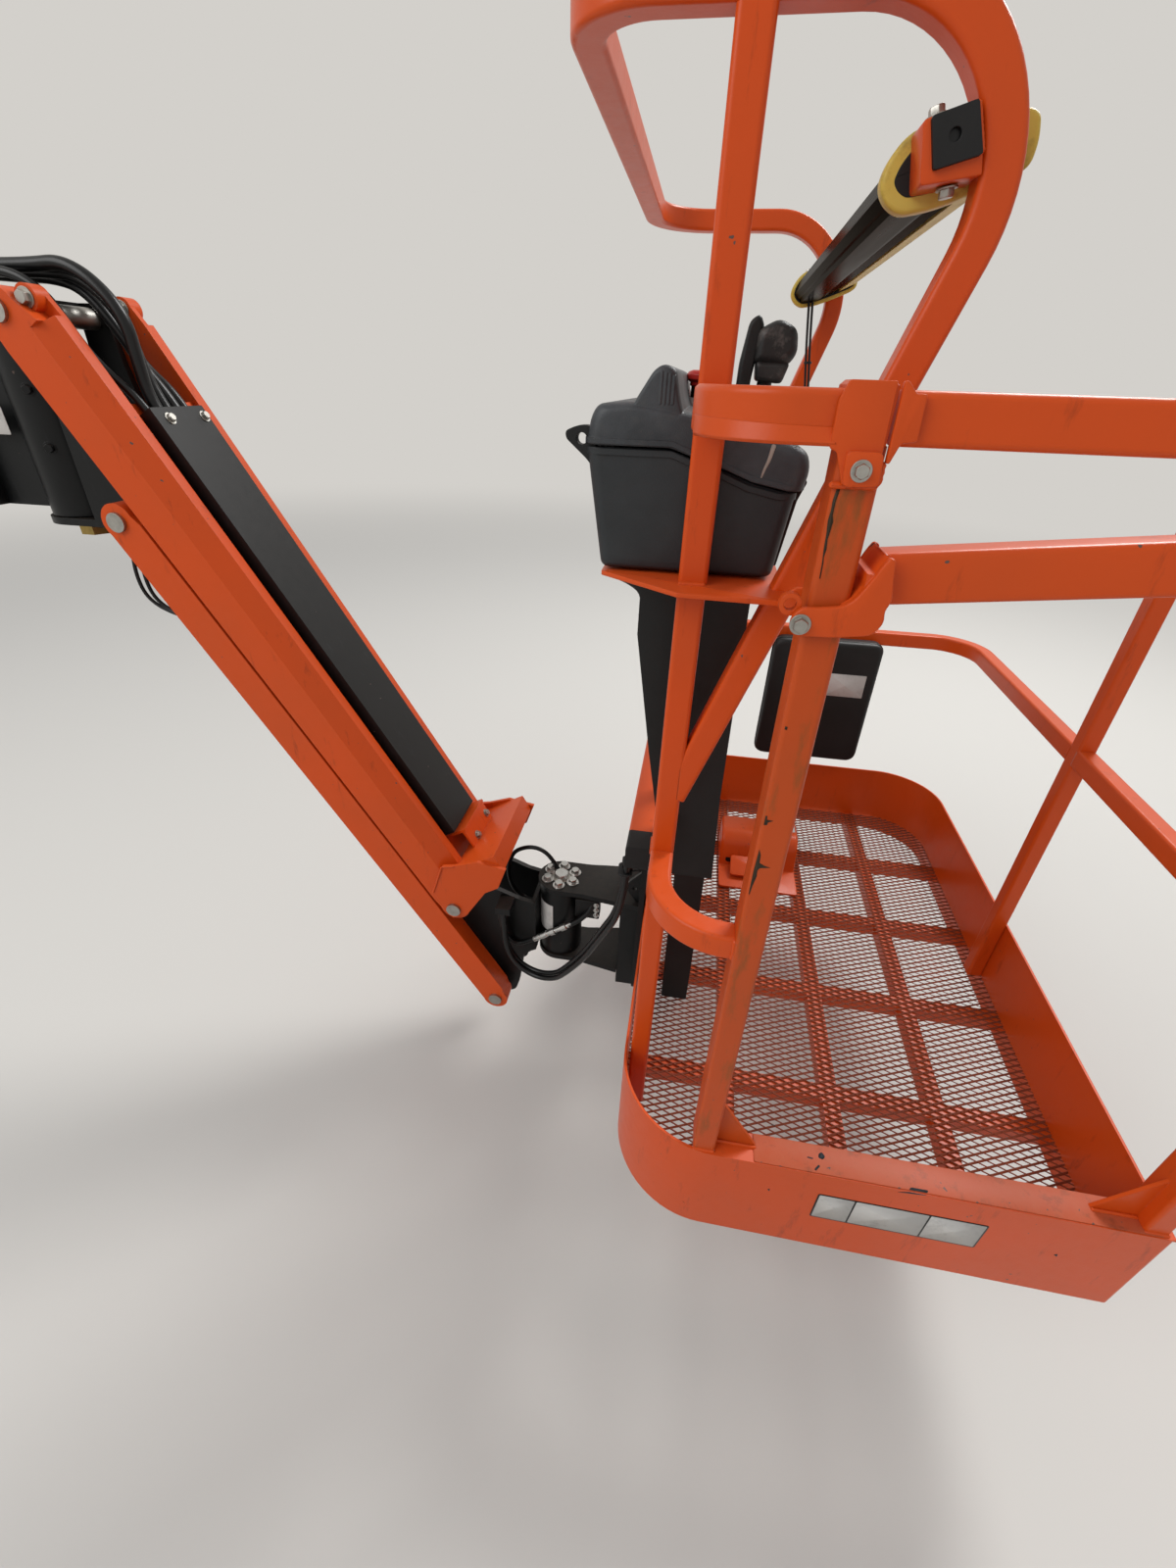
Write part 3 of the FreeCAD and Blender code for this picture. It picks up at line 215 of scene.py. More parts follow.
def drawn_in(outline, depth):
    """An outline moved inwards: each point along the mitre of its two sides' normals."""
    before = outline - np.roll(outline, 1, axis=0)
    after = np.roll(outline, -1, axis=0) - outline
    area = np.sum(outline[:, 0] * np.roll(outline[:, 1], -1)
                  - np.roll(outline[:, 0], -1) * outline[:, 1])
    spin = math.copysign(1.0, area)
    normals = [np.stack([-side[:, 1], side[:, 0]], 1) * spin
               / np.maximum(np.linalg.norm(side, axis=1, keepdims=True), NEARLY_ZERO)
               for side in (before, after)]
    meeting = 1 + np.sum(normals[0] * normals[1], axis=1, keepdims=True)
    mitre = (normals[0] + normals[1]) / np.maximum(meeting, LEAST_MITRE)
    return outline + mitre * depth


def circle(radius, count=16):
    """Points on a circle: radius times cosine and sine of equal steps."""
    turn = np.linspace(0, 2 * math.pi, count, endpoint=False)
    return radius * np.stack([np.cos(turn), np.sin(turn)], 1)


def slab(outline, thick, origin, right_way, up_way, soft=0.0008, steps=2):
    """An outline given a thickness along right x up, its edges drawn in by a quarter circle."""
    out_way = np.cross(right_way, up_way)
    turn = np.linspace(0, math.pi / 2, steps + 1)
    depth = np.concatenate([soft * (1 - np.cos(turn)), thick - soft * (1 - np.cos(turn[::-1]))])
    inset = np.concatenate([soft * (1 - np.sin(turn)), soft * (1 - np.sin(turn[::-1]))])
    rings = [origin + flat[:, :1] * right_way + flat[:, 1:] * up_way + level * out_way
             for flat, level in ((drawn_in(outline, step), level)
                                 for step, level in zip(inset, depth))]
    return skin(np.array(rings))


def carry(profile, line, up_way):
    """A profile carried along a line: line + profile x side + profile y lift, at each point."""
    along = np.gradient(line, axis=0)
    along = along / np.linalg.norm(along, axis=1, keepdims=True)
    side = np.cross(along, up_way)
    side = side / np.linalg.norm(side, axis=1, keepdims=True)
    lift = np.cross(side, along)
    rings = (line[:, None] + profile[None, :, :1] * side[:, None]
             + profile[None, :, 1:] * lift[:, None])
    return skin(rings)


test_plate = slab(rounded([(0, 0), (1, 0), (1, 1), (0, 1)], 0.1), 0.1, np.zeros(3), WAY_X, WAY_Y)
print("a plate with soft edges takes", len(test_plate[0]), "points")

# %% [markdown]
# ## Bolts
# The bolts on this machine are zinc-plated hexagon heads, most of them on a round washer. One
# function draws such a head as rings whose radius changes from a circle to a hexagon: at a
# turn from the middle of a flat, a hexagon's radius is its half width over the cosine of that
# turn. A list of places gives a whole set in one mesh. A small function before it finds two
# directions across any axis, for this and for every other turned piece.

# %% Bolt heads
# A way whose x is more than this runs too near the x axis to be crossed with it.
NEAR_X = 0.9
# Each row is a ring: its height and radius in head widths, and how much of a hexagon it is.
HEAD_RINGS = np.array([(0.0, 0.80, 0), (0.10, 0.80, 0), (0.12, 0.78, 0), (0.12, 0.50, 1),
                       (0.52, 0.50, 1), (0.62, 0.47, 0.3), (0.62, 0.30, 0)])


def ways_across(way):
    """A way of length 1 and two across it: its cross product with x or z, and with that one."""
    way = np.asarray(way, float) / np.linalg.norm(way)
    side = np.cross(way, WAY_X if abs(way[0]) < NEAR_X else WAY_Z)
    side = side / np.linalg.norm(side)
    return way, side, np.cross(way, side)


def bolt_head(place, way, wide):
    """Rings up the bolt's axis: a round washer, hexagon flats, then a chamfer that closes it."""
    way, side, lift = ways_across(way)
    turn = np.linspace(0, 2 * math.pi, 24, endpoint=False)
    hexagon = 1 / np.cos(np.mod(turn, math.pi / 3) - math.pi / 6)
    height, radius, six = HEAD_RINGS.T
    reach = radius[:, None] * (six[:, None] * hexagon[None] + 1 - six[:, None]) * wide
    rings = (np.asarray(place) + height[:, None, None] * wide * way
             + reach[..., None] * (np.cos(turn)[None, :, None] * side
                                   + np.sin(turn)[None, :, None] * lift))
    return skin(rings)


def bolts(places, way, wide):
    """The same bolt head at several places."""
    return [bolt_head(place, way, wide) for place in places]


print("one bolt head has", len(bolt_head((0, 0, 0), (0, 0, 1), 0.019)[1]), "faces")

# %% [markdown]
# ## Colours and nodes
# The eye picks colours from a screen, where they are stored in sRGB, while the renderer adds
# light in linear numbers. One function turns a hex colour into those, and one turns the size
# of a patch or a grain into the scale of a noise. A third adds a shader node with its settings
# and links, so that each material reads as a list of what it does.

# %% Colour and node helpers
def to_linear(colour):
    """sRGB hex to linear: c / 12.92 below 0.04045, else ((c + 0.055) / 1.055) ^ 2.4."""
    parts = np.array([int(colour[k:k + 2], 16) for k in (1, 3, 5)]) / 255
    curve = np.where(parts <= 0.04045, parts / 12.92, ((parts + 0.055) / 1.055) ** 2.4)
    return (*curve.tolist(), 1.0)


def patches(size):
    """A noise's scale from the size of its patches in mm: 1000 / size, to two figures."""
    return float(f"{1000 / size:.1e}")


def add(tree, kind, settings=None, links=None):
    """One node: settings are its properties or socket values, links its inputs' sources."""
    item = tree.nodes.new(kind)
    for key, value in (settings or {}).items():
        if isinstance(key, str) and hasattr(item, key):
            setattr(item, key, value)
        else:
            item.inputs[key].default_value = value
    for key, source in (links or {}).items():
        tree.links.new(source, item.inputs[key])
    return item


def new_finish(name):
    """An empty material with its Principled shader and Object coordinates."""
    finish = bpy.data.materials.new(name)
    finish.use_nodes = True
    tree = finish.node_tree
    tree.nodes.clear()
    output = add(tree, "ShaderNodeOutputMaterial")
    shader = add(tree, "ShaderNodeBsdfPrincipled")
    tree.links.new(shader.outputs["BSDF"], output.inputs["Surface"])
    place = add(tree, "ShaderNodeTexCoord")
    return finish, tree, shader, place


print("safety orange in linear light", np.round(to_linear("#D2571E")[:3], 3))

# %% [markdown]
# ## Orange enamel
# The frame, rails and arms are welded steel with sprayed and baked orange enamel. It is
# glossy, with a fine orange-peel ripple, and years outside have left it a little chalky with
# pale dust on faces that look up, dark rubbed marks and small chips down to the primer. The
# marks are noise patterns measured in millimetres on the piece itself, so they stay put when
# the piece moves. The ripple of real enamel is 1 to 2 mm wide, and here it is drawn twice as
# coarse, so that it still shows in the picture.

# %% Orange enamel
ENAMEL_ORANGE = "#D44A0A"
ENAMEL_CHALKY = "#BE4A18"
ENAMEL_RUBBED = "#7C2C0E"
PRIMER_GREY = "#5A4A43"
DUST = "#A98F78"
TONE_SIZE = 200
STREAK_SIZE = 330
# Streaks are patches drawn 14 times narrower and 3 times shorter: 24 mm by 110 mm.
STREAK_SQUEEZE = (14.0, 14.0, 3.0)
DUST_SIZE = 16.7
CHIP_SIZE = 10.5
PEEL_SIZE = 3.8
ENAMEL_EDGE = 0.0013
BEVEL_SAMPLES = 4


def enamel(name, base, chalky, rubbed, rough, dust_amount, chip_amount, rub_start=0.60):
    """Sprayed enamel: two tones, dust where it faces up, rubbed patches, chips, orange peel."""
    finish, tree, shader, place = new_finish(name)
    spot = place.outputs["Object"]
    broad = add(tree, "ShaderNodeTexNoise", {"Scale": patches(TONE_SIZE), "Detail": 3.0},
                {"Vector": spot})
    tone = add(tree, "ShaderNodeMix", {"data_type": "RGBA", 6: to_linear(base),
                                       7: to_linear(chalky)}, {0: broad.outputs["Fac"]})
    streak_way = add(tree, "ShaderNodeMapping", {"Scale": STREAK_SQUEEZE}, {"Vector": spot})
    streak = add(tree, "ShaderNodeTexNoise",
                 {"Scale": patches(STREAK_SIZE), "Detail": 6.0, "Roughness": 0.7},
                 {"Vector": streak_way.outputs["Vector"]})
    rub = add(tree, "ShaderNodeMapRange", {"From Min": rub_start, "From Max": rub_start + 0.14,
                                           "To Max": 0.55},
              {"Value": streak.outputs["Fac"]})
    rubbed_tone = add(tree, "ShaderNodeMix", {"data_type": "RGBA", 7: to_linear(rubbed)},
                      {0: rub.outputs["Result"], 6: tone.outputs[2]})
    facing = add(tree, "ShaderNodeSeparateXYZ", None, {"Vector": place.outputs["Normal"]})
    fine = add(tree, "ShaderNodeTexNoise",
               {"Scale": patches(DUST_SIZE), "Detail": 5.0, "Roughness": 0.65}, {"Vector": spot})
    upward = add(tree, "ShaderNodeMapRange", {"From Min": 0.35, "From Max": 1.0,
                                              "To Max": dust_amount},
                 {"Value": facing.outputs["Z"]})
    dusty = add(tree, "ShaderNodeMath", {"operation": "MULTIPLY"},
                {0: upward.outputs["Result"], 1: fine.outputs["Fac"]})
    dusted = add(tree, "ShaderNodeMix", {"data_type": "RGBA", 7: to_linear(DUST)},
                 {0: dusty.outputs[0], 6: rubbed_tone.outputs[2]})
    chip_noise = add(tree, "ShaderNodeTexNoise",
                     {"Scale": patches(CHIP_SIZE), "Detail": 2.0, "Roughness": 0.5},
                     {"Vector": spot})
    chip = add(tree, "ShaderNodeMapRange", {"From Min": 0.745 - chip_amount,
                                            "From Max": 0.76 - chip_amount},
               {"Value": chip_noise.outputs["Fac"]})
    chipped = add(tree, "ShaderNodeMix", {"data_type": "RGBA", 7: to_linear(PRIMER_GREY)},
                  {0: chip.outputs["Result"], 6: dusted.outputs[2]})
    gloss = add(tree, "ShaderNodeMapRange", {"To Min": rough - 0.05, "To Max": rough + 0.12},
                {"Value": fine.outputs["Fac"]})
    peel = add(tree, "ShaderNodeTexNoise", {"Scale": patches(PEEL_SIZE), "Detail": 1.0},
               {"Vector": spot})
    soft_edge = add(tree, "ShaderNodeBevel", {"Radius": ENAMEL_EDGE, "samples": BEVEL_SAMPLES})
    bump = add(tree, "ShaderNodeBump", {"Strength": 0.06, "Distance": 0.001},
               {"Height": peel.outputs["Fac"], "Normal": soft_edge.outputs["Normal"]})
    tree.links.new(chipped.outputs[2], shader.inputs["Base Color"])
    tree.links.new(gloss.outputs["Result"], shader.inputs["Roughness"])
    tree.links.new(bump.outputs["Normal"], shader.inputs["Normal"])
    shader.inputs["Specular IOR Level"].default_value = 0.26
    return finish


orange_enamel = enamel("orange_enamel", ENAMEL_ORANGE, ENAMEL_CHALKY, ENAMEL_RUBBED,
                       rough=0.30, dust_amount=0.07, chip_amount=-0.012)
worn_enamel = enamel("worn_orange_enamel", "#C0481A", "#A2492A", "#6E3018",
                     rough=0.42, dust_amount=0.20, chip_amount=0.03, rub_start=0.54)
stained_enamel = enamel("stained_orange_enamel", "#C8480E", "#A8481A", "#5C4A20",
                        rough=0.38, dust_amount=0.10, chip_amount=0.02, rub_start=0.555)
# The floor's dark red-brown is partly wear from boots and partly painted shade.
floor_enamel = enamel("floor_paint_worn_and_painted_shade", "#8F3E20", "#6F3220", "#43261C",
                      rough=0.55, dust_amount=0.20, chip_amount=0.03)
print("orange enamel nodes", len(orange_enamel.node_tree.nodes))

# %% [markdown]
# ## Black enamel
# The head, the rotary actuators and the hose cover are the same sprayed enamel in satin
# black, and where it is rubbed it turns grey. The same function makes it, with other colours,
# hardly any chips and a slightly rougher surface.

# %% Black enamel
black_enamel = enamel("black_enamel", "#0A0B0B", "#101112", "#222326",
                      rough=0.36, dust_amount=0.06, chip_amount=-0.02)
print("black enamel nodes", len(black_enamel.node_tree.nodes))

# %% [markdown]
# ## Plated and chromed steel
# Pins and bolts are zinc-plated steel: a warm grey metal, blotchy where the zinc has dulled.
# New bolts are brighter, and the swing shaft's nut is passivated yellow. The lift cylinder's
# rod is hard chrome, polished, with faint rings from grinding. All are
# metals, so their colour goes into the reflection and the index of refraction stays as it is.

# %% Plated and chromed steel
METAL_EDGE = 0.0006


def metal(name, bright, dull, rough_low, rough_high, blotch_size=11.1, stretch=(1, 1, 1),
          edge_tint="#FFFFFF"):
    """A metal that wanders between two tones and two roughnesses over a stretched noise."""
    finish, tree, shader, place = new_finish(name)
    way = add(tree, "ShaderNodeMapping", {"Scale": stretch}, {"Vector": place.outputs["Object"]})
    blotch = add(tree, "ShaderNodeTexNoise",
                 {"Scale": patches(blotch_size), "Detail": 5.0, "Roughness": 0.6},
                 {"Vector": way.outputs["Vector"]})
    tone = add(tree, "ShaderNodeMix", {"data_type": "RGBA", 6: to_linear(bright),
                                       7: to_linear(dull)}, {0: blotch.outputs["Fac"]})
    rough = add(tree, "ShaderNodeMapRange", {"To Min": rough_low, "To Max": rough_high},
                {"Value": blotch.outputs["Fac"]})
    soft_edge = add(tree, "ShaderNodeBevel", {"Radius": METAL_EDGE, "samples": BEVEL_SAMPLES})
    bump = add(tree, "ShaderNodeBump", {"Strength": 0.08, "Distance": 0.0004},
               {"Height": blotch.outputs["Fac"], "Normal": soft_edge.outputs["Normal"]})
    tree.links.new(tone.outputs[2], shader.inputs["Base Color"])
    tree.links.new(rough.outputs["Result"], shader.inputs["Roughness"])
    tree.links.new(bump.outputs["Normal"], shader.inputs["Normal"])
    shader.inputs["Metallic"].default_value = 1.0
    shader.inputs["Specular Tint"].default_value = to_linear(edge_tint)
    return finish


zinc_steel = metal("zinc_plated_steel", "#C4C2BC", "#86827A", rough_low=0.26, rough_high=0.50)
bright_zinc = metal("bright_zinc_steel", "#DEDEDC", "#A9A8A4", rough_low=0.20, rough_high=0.40)
yellow_zinc = metal("yellow_zinc_steel", "#B49A5C", "#86703F", rough_low=0.28, rough_high=0.50)
hard_chrome = metal("hard_chrome", "#DADADB", "#BFC0C4", rough_low=0.06, rough_high=0.14,
                    blotch_size=25, stretch=(1, 1, 6))
print("metals:", zinc_steel.name, hard_chrome.name)

# %% [markdown]
# ## Moulded plastics
# The console box and its pedestal are dark grey polyethylene from a mould with a fine spark
# texture: matt, slightly mottled and chalky from the sun. The lid is more mottled still, and
# the joystick's grip is worn pale. The sensor bar's caps are yellow plastic that has bleached
# and gone grimy, and the stop button is a shiny red one. The grain is 1.54 mm here, coarser
# than the real 0.5 mm, so that it still shows in the picture.

# %% Moulded plastics
FADE_SIZE = 90
DIRT_SIZE = 29.5
GRAIN_SIZE = 1.54
PLASTIC_EDGE = 0.0015


def moulded(name, base, faded, rough, grain, grime, dirt_colour="#2C2823"):
    """Moulded plastic: a base tone, faded patches, dirt in broad noise and a fine grain."""
    finish, tree, shader, place = new_finish(name)
    spot = place.outputs["Object"]
    fade = add(tree, "ShaderNodeTexNoise",
               {"Scale": patches(FADE_SIZE), "Detail": 5.0, "Roughness": 0.6}, {"Vector": spot})
    faded_part = add(tree, "ShaderNodeMapRange", {"From Min": 0.35, "From Max": 0.75},
                     {"Value": fade.outputs["Fac"]})
    tone = add(tree, "ShaderNodeMix", {"data_type": "RGBA", 6: to_linear(base),
                                       7: to_linear(faded)}, {0: faded_part.outputs["Result"]})
    dirt = add(tree, "ShaderNodeTexNoise",
               {"Scale": patches(DIRT_SIZE), "Detail": 6.0, "Roughness": 0.7}, {"Vector": spot})
    dirty = add(tree, "ShaderNodeMapRange", {"From Min": 0.52, "From Max": 0.78,
                                             "To Max": grime}, {"Value": dirt.outputs["Fac"]})
    soiled = add(tree, "ShaderNodeMix", {"data_type": "RGBA", 7: to_linear(dirt_colour)},
                 {0: dirty.outputs["Result"], 6: tone.outputs[2]})
    grains = add(tree, "ShaderNodeTexNoise", {"Scale": patches(GRAIN_SIZE), "Detail": 2.0},
                 {"Vector": spot})
    soft_edge = add(tree, "ShaderNodeBevel", {"Radius": PLASTIC_EDGE, "samples": BEVEL_SAMPLES})
    bump = add(tree, "ShaderNodeBump", {"Strength": grain, "Distance": 0.0006},
               {"Height": grains.outputs["Fac"], "Normal": soft_edge.outputs["Normal"]})
    gloss = add(tree, "ShaderNodeMapRange", {"To Min": rough - 0.06, "To Max": rough + 0.10},
                {"Value": dirt.outputs["Fac"]})
    tree.links.new(soiled.outputs[2], shader.inputs["Base Color"])
    tree.links.new(gloss.outputs["Result"], shader.inputs["Roughness"])
    shader.inputs["Specular IOR Level"].default_value = 0.35
    tree.links.new(bump.outputs["Normal"], shader.inputs["Normal"])
    return finish


grey_plastic = moulded("grey_polyethylene", "#232628", "#2F3234",
                       rough=0.46, grain=0.35, grime=0.25)
black_plastic = moulded("black_polyethylene", "#0B0C0C", "#141516",
                        rough=0.44, grain=0.30, grime=0.12)
yellow_plastic = moulded("yellow_plastic", "#BE9E34", "#CBB65A",
                         rough=0.42, grain=0.15, grime=0.70, dirt_colour="#5E4A22")
red_plastic = moulded("red_plastic", "#A01C18", "#B3322B", rough=0.30, grain=0.10, grime=0.30)
lid_plastic = moulded("mottled_polyethylene", "#24272A", "#484B4E",
                      rough=0.42, grain=0.45, grime=0.45, dirt_colour="#4E4841")
worn_grip = moulded("worn_grip_plastic", "#1B1B1B", "#3B3936",
                    rough=0.38, grain=0.40, grime=0.80, dirt_colour="#77706A")
print("plastics: grey, black, yellow, red, mottled and worn")

# %% [markdown]
# ## Rubber, vinyl, marks and anodised aluminium
# Hoses and end caps are black rubber, which is dull and slightly grey with dust, and the
# covers of the hoses shine a little more. Labels are white vinyl, which here stay blank. Rust
# under flaked paint, blue-black scuffs and a dried splash of lime are thin rough layers, so
# the same function makes them too. The sensor bar is an extrusion of dark anodised aluminium
# with pale scratches along it, which is a metal with a tinted edge.

# %% Rubber, vinyl, marks and aluminium
black_rubber = moulded("black_rubber", "#0B0B0C", "#151516", rough=0.50, grain=0.12, grime=0.20)
hose_rubber = moulded("hose_cover_rubber", "#08090A", "#101112",
                      rough=0.30, grain=0.06, grime=0.10)
white_vinyl = moulded("white_vinyl", "#C9C6C1", "#B9B5AF", rough=0.38, grain=0.04, grime=0.35)
black_vinyl = moulded("black_vinyl", "#0E0E0F", "#161617", rough=0.38, grain=0.04, grime=0.20)
flaked_steel = moulded("flaked_rusty_steel", "#2B2010", "#3D2E18",
                       rough=0.60, grain=0.20, grime=0.40)
scuff_paint = moulded("blue_black_scuff", "#171D22", "#2B333A", rough=0.5, grain=0.1, grime=0.3)
dried_lime = moulded("dried_lime_splash", "#B7AEA2", "#9C948A", rough=0.7, grain=0.2, grime=0.2)
dark_aluminium = metal("anodised_aluminium", "#514D4A", "#2E2B29", rough_low=0.20,
                       rough_high=0.36, blotch_size=38, stretch=(1, 0.08, 1),
                       edge_tint="#8C8884")
print("rubber, vinyl, marks and aluminium are ready")

# %% [markdown]
# ## Finishes for the CAD pieces
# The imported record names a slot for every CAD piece, such as orange paint or plated steel. A
# table from slot to finish dresses all of them at once, and what differs is put right after.

# %% Dress the CAD pieces
FINISH_OF_SLOT = {"orange_paint": orange_enamel, "black_paint": black_enamel,
                  "plated_steel": zinc_steel, "chromed_rod": hard_chrome,
                  "grey_plastic": grey_plastic, "bar_aluminium": dark_aluminium,
                  "yellow_plastic": yellow_plastic, "red_plastic": red_plastic,
                  "black_rubber": black_rubber}


def dress(node, finish):
    """Puts one finish in every material slot of a CAD piece."""
    piece = frame["nodes"][node]
    if not piece.material_slots:
        piece.data.materials.append(finish)
    for slot in piece.material_slots:
        slot.material = finish


for row in frame["record"]["subparts"]:
    dress(row["node"], FINISH_OF_SLOT[row["material_slot"]])
dress("console_pedestal", black_plastic)
dress("gate_post_left", stained_enamel)
dress("swing_shaft_nut", yellow_zinc)

# %% [markdown]
# ## The expanded steel floor
# The floor is expanded metal: a sheet slit in rows and pulled open into diamonds, 30.5 mm
# long and 12.7 mm wide, with strands that stand on edge so that boots grip. A texture with
# holes would look flat from the camera, which stands close. So every strand is a small bar:
# row k zigzags between two lines 6.35 mm apart, and odd rows are shifted by one step, which
# makes neighbouring rows meet at the bonds.

# %% Expanded steel floor
BOARD_OUT = 760.0
PLATFORM_LONG = 1210.0
FLOOR_EDGE = 4.0
CORNER_ROUND = 146.0
DIAMOND_LONG = 30.5
DIAMOND_WIDE = 12.7
STRAND_WIDE = 3.5
STRAND_THICK = 1.5
STRAND_LEAN = math.radians(38)
STRAND_MIDDLE = -2.0
BOND_LAP = 0.6
# A strand of which less than this share is left at the floor's edge is dropped.
LEAST_SHARE = 0.08


def across_limits(depth):
    """Where the floor starts and ends across at a depth: set in by the round of each corner."""
    near = np.clip((FLOOR_EDGE + CORNER_ROUND - depth) / CORNER_ROUND, 0, 1)
    far = np.clip((depth - PLATFORM_LONG + FLOOR_EDGE + CORNER_ROUND) / CORNER_ROUND, 0, 1)
    left = FLOOR_EDGE + CORNER_ROUND * (1 - np.sqrt(1 - np.maximum(near, far) ** 2))
    right_side = BOARD_OUT - FLOOR_EDGE - CORNER_ROUND * (1 - np.sqrt(1 - far ** 2))
    return left, right_side


def floor_strands():
    """Bars from (i, k) to (i + 1, k), where y = (k + (i + k) mod 2) half diamonds."""
    step = DIAMOND_LONG / 2
    rise = DIAMOND_WIDE / 2
    rows = np.arange(int((PLATFORM_LONG - 2 * FLOOR_EDGE - rise) / rise))
    columns = np.arange(int(BOARD_OUT / step) + 1)
    row, column = np.meshgrid(rows, columns, indexing="ij")
    start = np.stack([column * step, FLOOR_EDGE + (row + (row + column) % 2) * rise], -1)
    end = np.stack([(column + 1) * step, FLOOR_EDGE + (row + (row + column + 1) % 2) * rise], -1)
    start, end = start.reshape(-1, 2), end.reshape(-1, 2)
    low, high = across_limits((start[:, 1] + end[:, 1]) / 2)
    first = np.clip((low - start[:, 0]) / step, 0, 1)
    last = np.clip((high - start[:, 0]) / step, 0, 1)
    keep = last - first > LEAST_SHARE
    start, end, first, last = start[keep], end[keep], first[keep, None], last[keep, None]
    start, end = start + (end - start) * first, start + (end - start) * last
    along = (end - start) / np.linalg.norm(end - start, axis=1, keepdims=True)
    side = np.stack([-along[:, 1], along[:, 0]], 1)
    corners = np.array([(-1, -1), (1, -1), (1, 1), (-1, 1)]) * [STRAND_WIDE / 2, STRAND_THICK / 2]
    offset = corners[:, 0] * math.cos(STRAND_LEAN) - corners[:, 1] * math.sin(STRAND_LEAN)
    height = corners[:, 0] * math.sin(STRAND_LEAN) + corners[:, 1] * math.cos(STRAND_LEAN)
    flip = np.where(along[:, 1:] > 0, 1.0, -1.0)
    flat = side[:, None] * (offset * flip)[..., None]
    rings = []
    for tip, push in ((start, -BOND_LAP), (end, BOND_LAP)):
        plan = (tip + along * push)[:, None] + flat
        level = np.broadcast_to(height[None, :, None] + STRAND_MIDDLE, plan.shape[:2] + (1,))
        rings.append(np.concatenate([plan, level], -1))
    return np.stack(rings, 1)


strands = floor_strands()
bar_faces = np.array([(0, 1, 5, 4), (1, 2, 6, 5), (2, 3, 7, 6), (3, 0, 4, 7), (3, 2, 1, 0),
                      (4, 5, 6, 7)])
strand_faces = (np.arange(len(strands))[:, None, None] * 8 + bar_faces).reshape(-1, 4)
floor_mesh = show("expanded_floor", (on_platform(strands.reshape(-1, 3)), strand_faces.tolist()),
                  "platform", floor_enamel)
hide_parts("floor_mesh")
print("floor strands", len(strands))

# %% [markdown]
# ## How a hose is made
# A hose has no corners, so its line is a smooth spline with the same route as the CAD tube, and
# a circle is carried along it. Each bundle is one fixed piece on no body, and the CAD hose that
# it replaces is hidden.

# %% Hose helpers
HOSE_POINTS = 14


def smooth_line(route):
    """A NURBS curve of the route's points, read back as the points of its smooth line."""
    curve = bpy.data.curves.new("route", "CURVE")
    curve.dimensions = "3D"
    curve.resolution_u = 10
    spline = curve.splines.new("NURBS")
    spline.points.add(len(route) - 1)
    spline.points.foreach_set("co", np.column_stack([route, np.ones(len(route))]).ravel())
    spline.order_u = 3
    spline.use_endpoint_u = True
    holder = bpy.data.objects.new("route", curve)
    flat = bpy.data.meshes.new_from_object(holder)
    line = np.zeros(len(flat.vertices) * 3)
    flat.vertices.foreach_get("co", line)
    bpy.data.objects.remove(holder)
    bpy.data.curves.remove(curve)
    bpy.data.meshes.remove(flat)
    return line.reshape(-1, 3)


def hose_bundle(name, routes, radii, replaced):
    """Circles carried along smooth lines as one fixed piece; the replaced CAD hose is hidden."""
    parts = [carry(circle(radius, HOSE_POINTS), smooth_line(route), WAY_Y)
             for route, radius in zip(routes, radii)]
    bundle = show(name, gather(parts), None, hose_rubber, sharp=60)
    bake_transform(bundle)
    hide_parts(replaced)


print("a hose has", HOSE_POINTS, "points round")

# %% [markdown]
# ## Five hoses over the jib's pin
# Five hoses of different thickness leave the boom's end side by side, cross the swing housing
# and arch over the jib's upper pin before they dive under the cover. They cross two joints, so
# each is made as two runs that meet at one point. A row of each table is a hose, and its runs
# keep their distance across.

# %% Boom hoses and jib hoses
HOSE_ACROSS = (-54, -32, -10, 12, 34)
HOSE_LIFT = (0, 8, 4, 0, 0)
HOSE_RADII = (0.007, 0.010, 0.009, 0.009, 0.008)
boom_run = ((52, 75), (112, 75), (175, 68), (238, 54), (299, 54))
boom_routes = [on_head([(x, across, z + lift) for x, z in boom_run])
               for across, lift in zip(HOSE_ACROSS, HOSE_LIFT)]
hose_bundle("boom_hose_bundle", boom_routes, HOSE_RADII,
            "boom_hoses")

OVER_PIN = [[(342, 54), (394, 24)], [(352, 62), (432, 68), (498, 8)],
            [(350, 58), (420, 54), (476, 2)], [(346, 54), (404, 38), (446, -24)],
            [(344, 54), (396, 30), (434, -34)]]
INTO_COVER = [[(60, 33), (115, 43), (158, 61), (200, 63)], [(120, 86), (162, 64), (200, 62)],
              [(118, 72), (165, 63), (200, 62)], [(112, 57), (158, 64), (200, 63)],
              [(108, 47), (156, 63), (200, 62)]]
meet_x, meet_z = boom_run[-1]
jib_routes = [np.concatenate([on_head([(meet_x, across, meet_z + lift)]
                                      + [(x, across, z) for x, z in over]),
                              on_jib([(along, above, across) for along, above in into])])
              for across, lift, over, into in zip(HOSE_ACROSS, HOSE_LIFT, OVER_PIN, INTO_COVER)]
hose_bundle("jib_hose_bundle", jib_routes, HOSE_RADII,
            "jib_hoses")

# %% [markdown]
# ## The loop, the cables and the rotator's hose
# Two hoses run in a loop from the level head under the rotator and up to the support tube, long
# enough for the platform to turn to either side. Two thin cables hang in a curve between the
# jib's base and the lift cylinder, and one thin hose arches over the rotator.

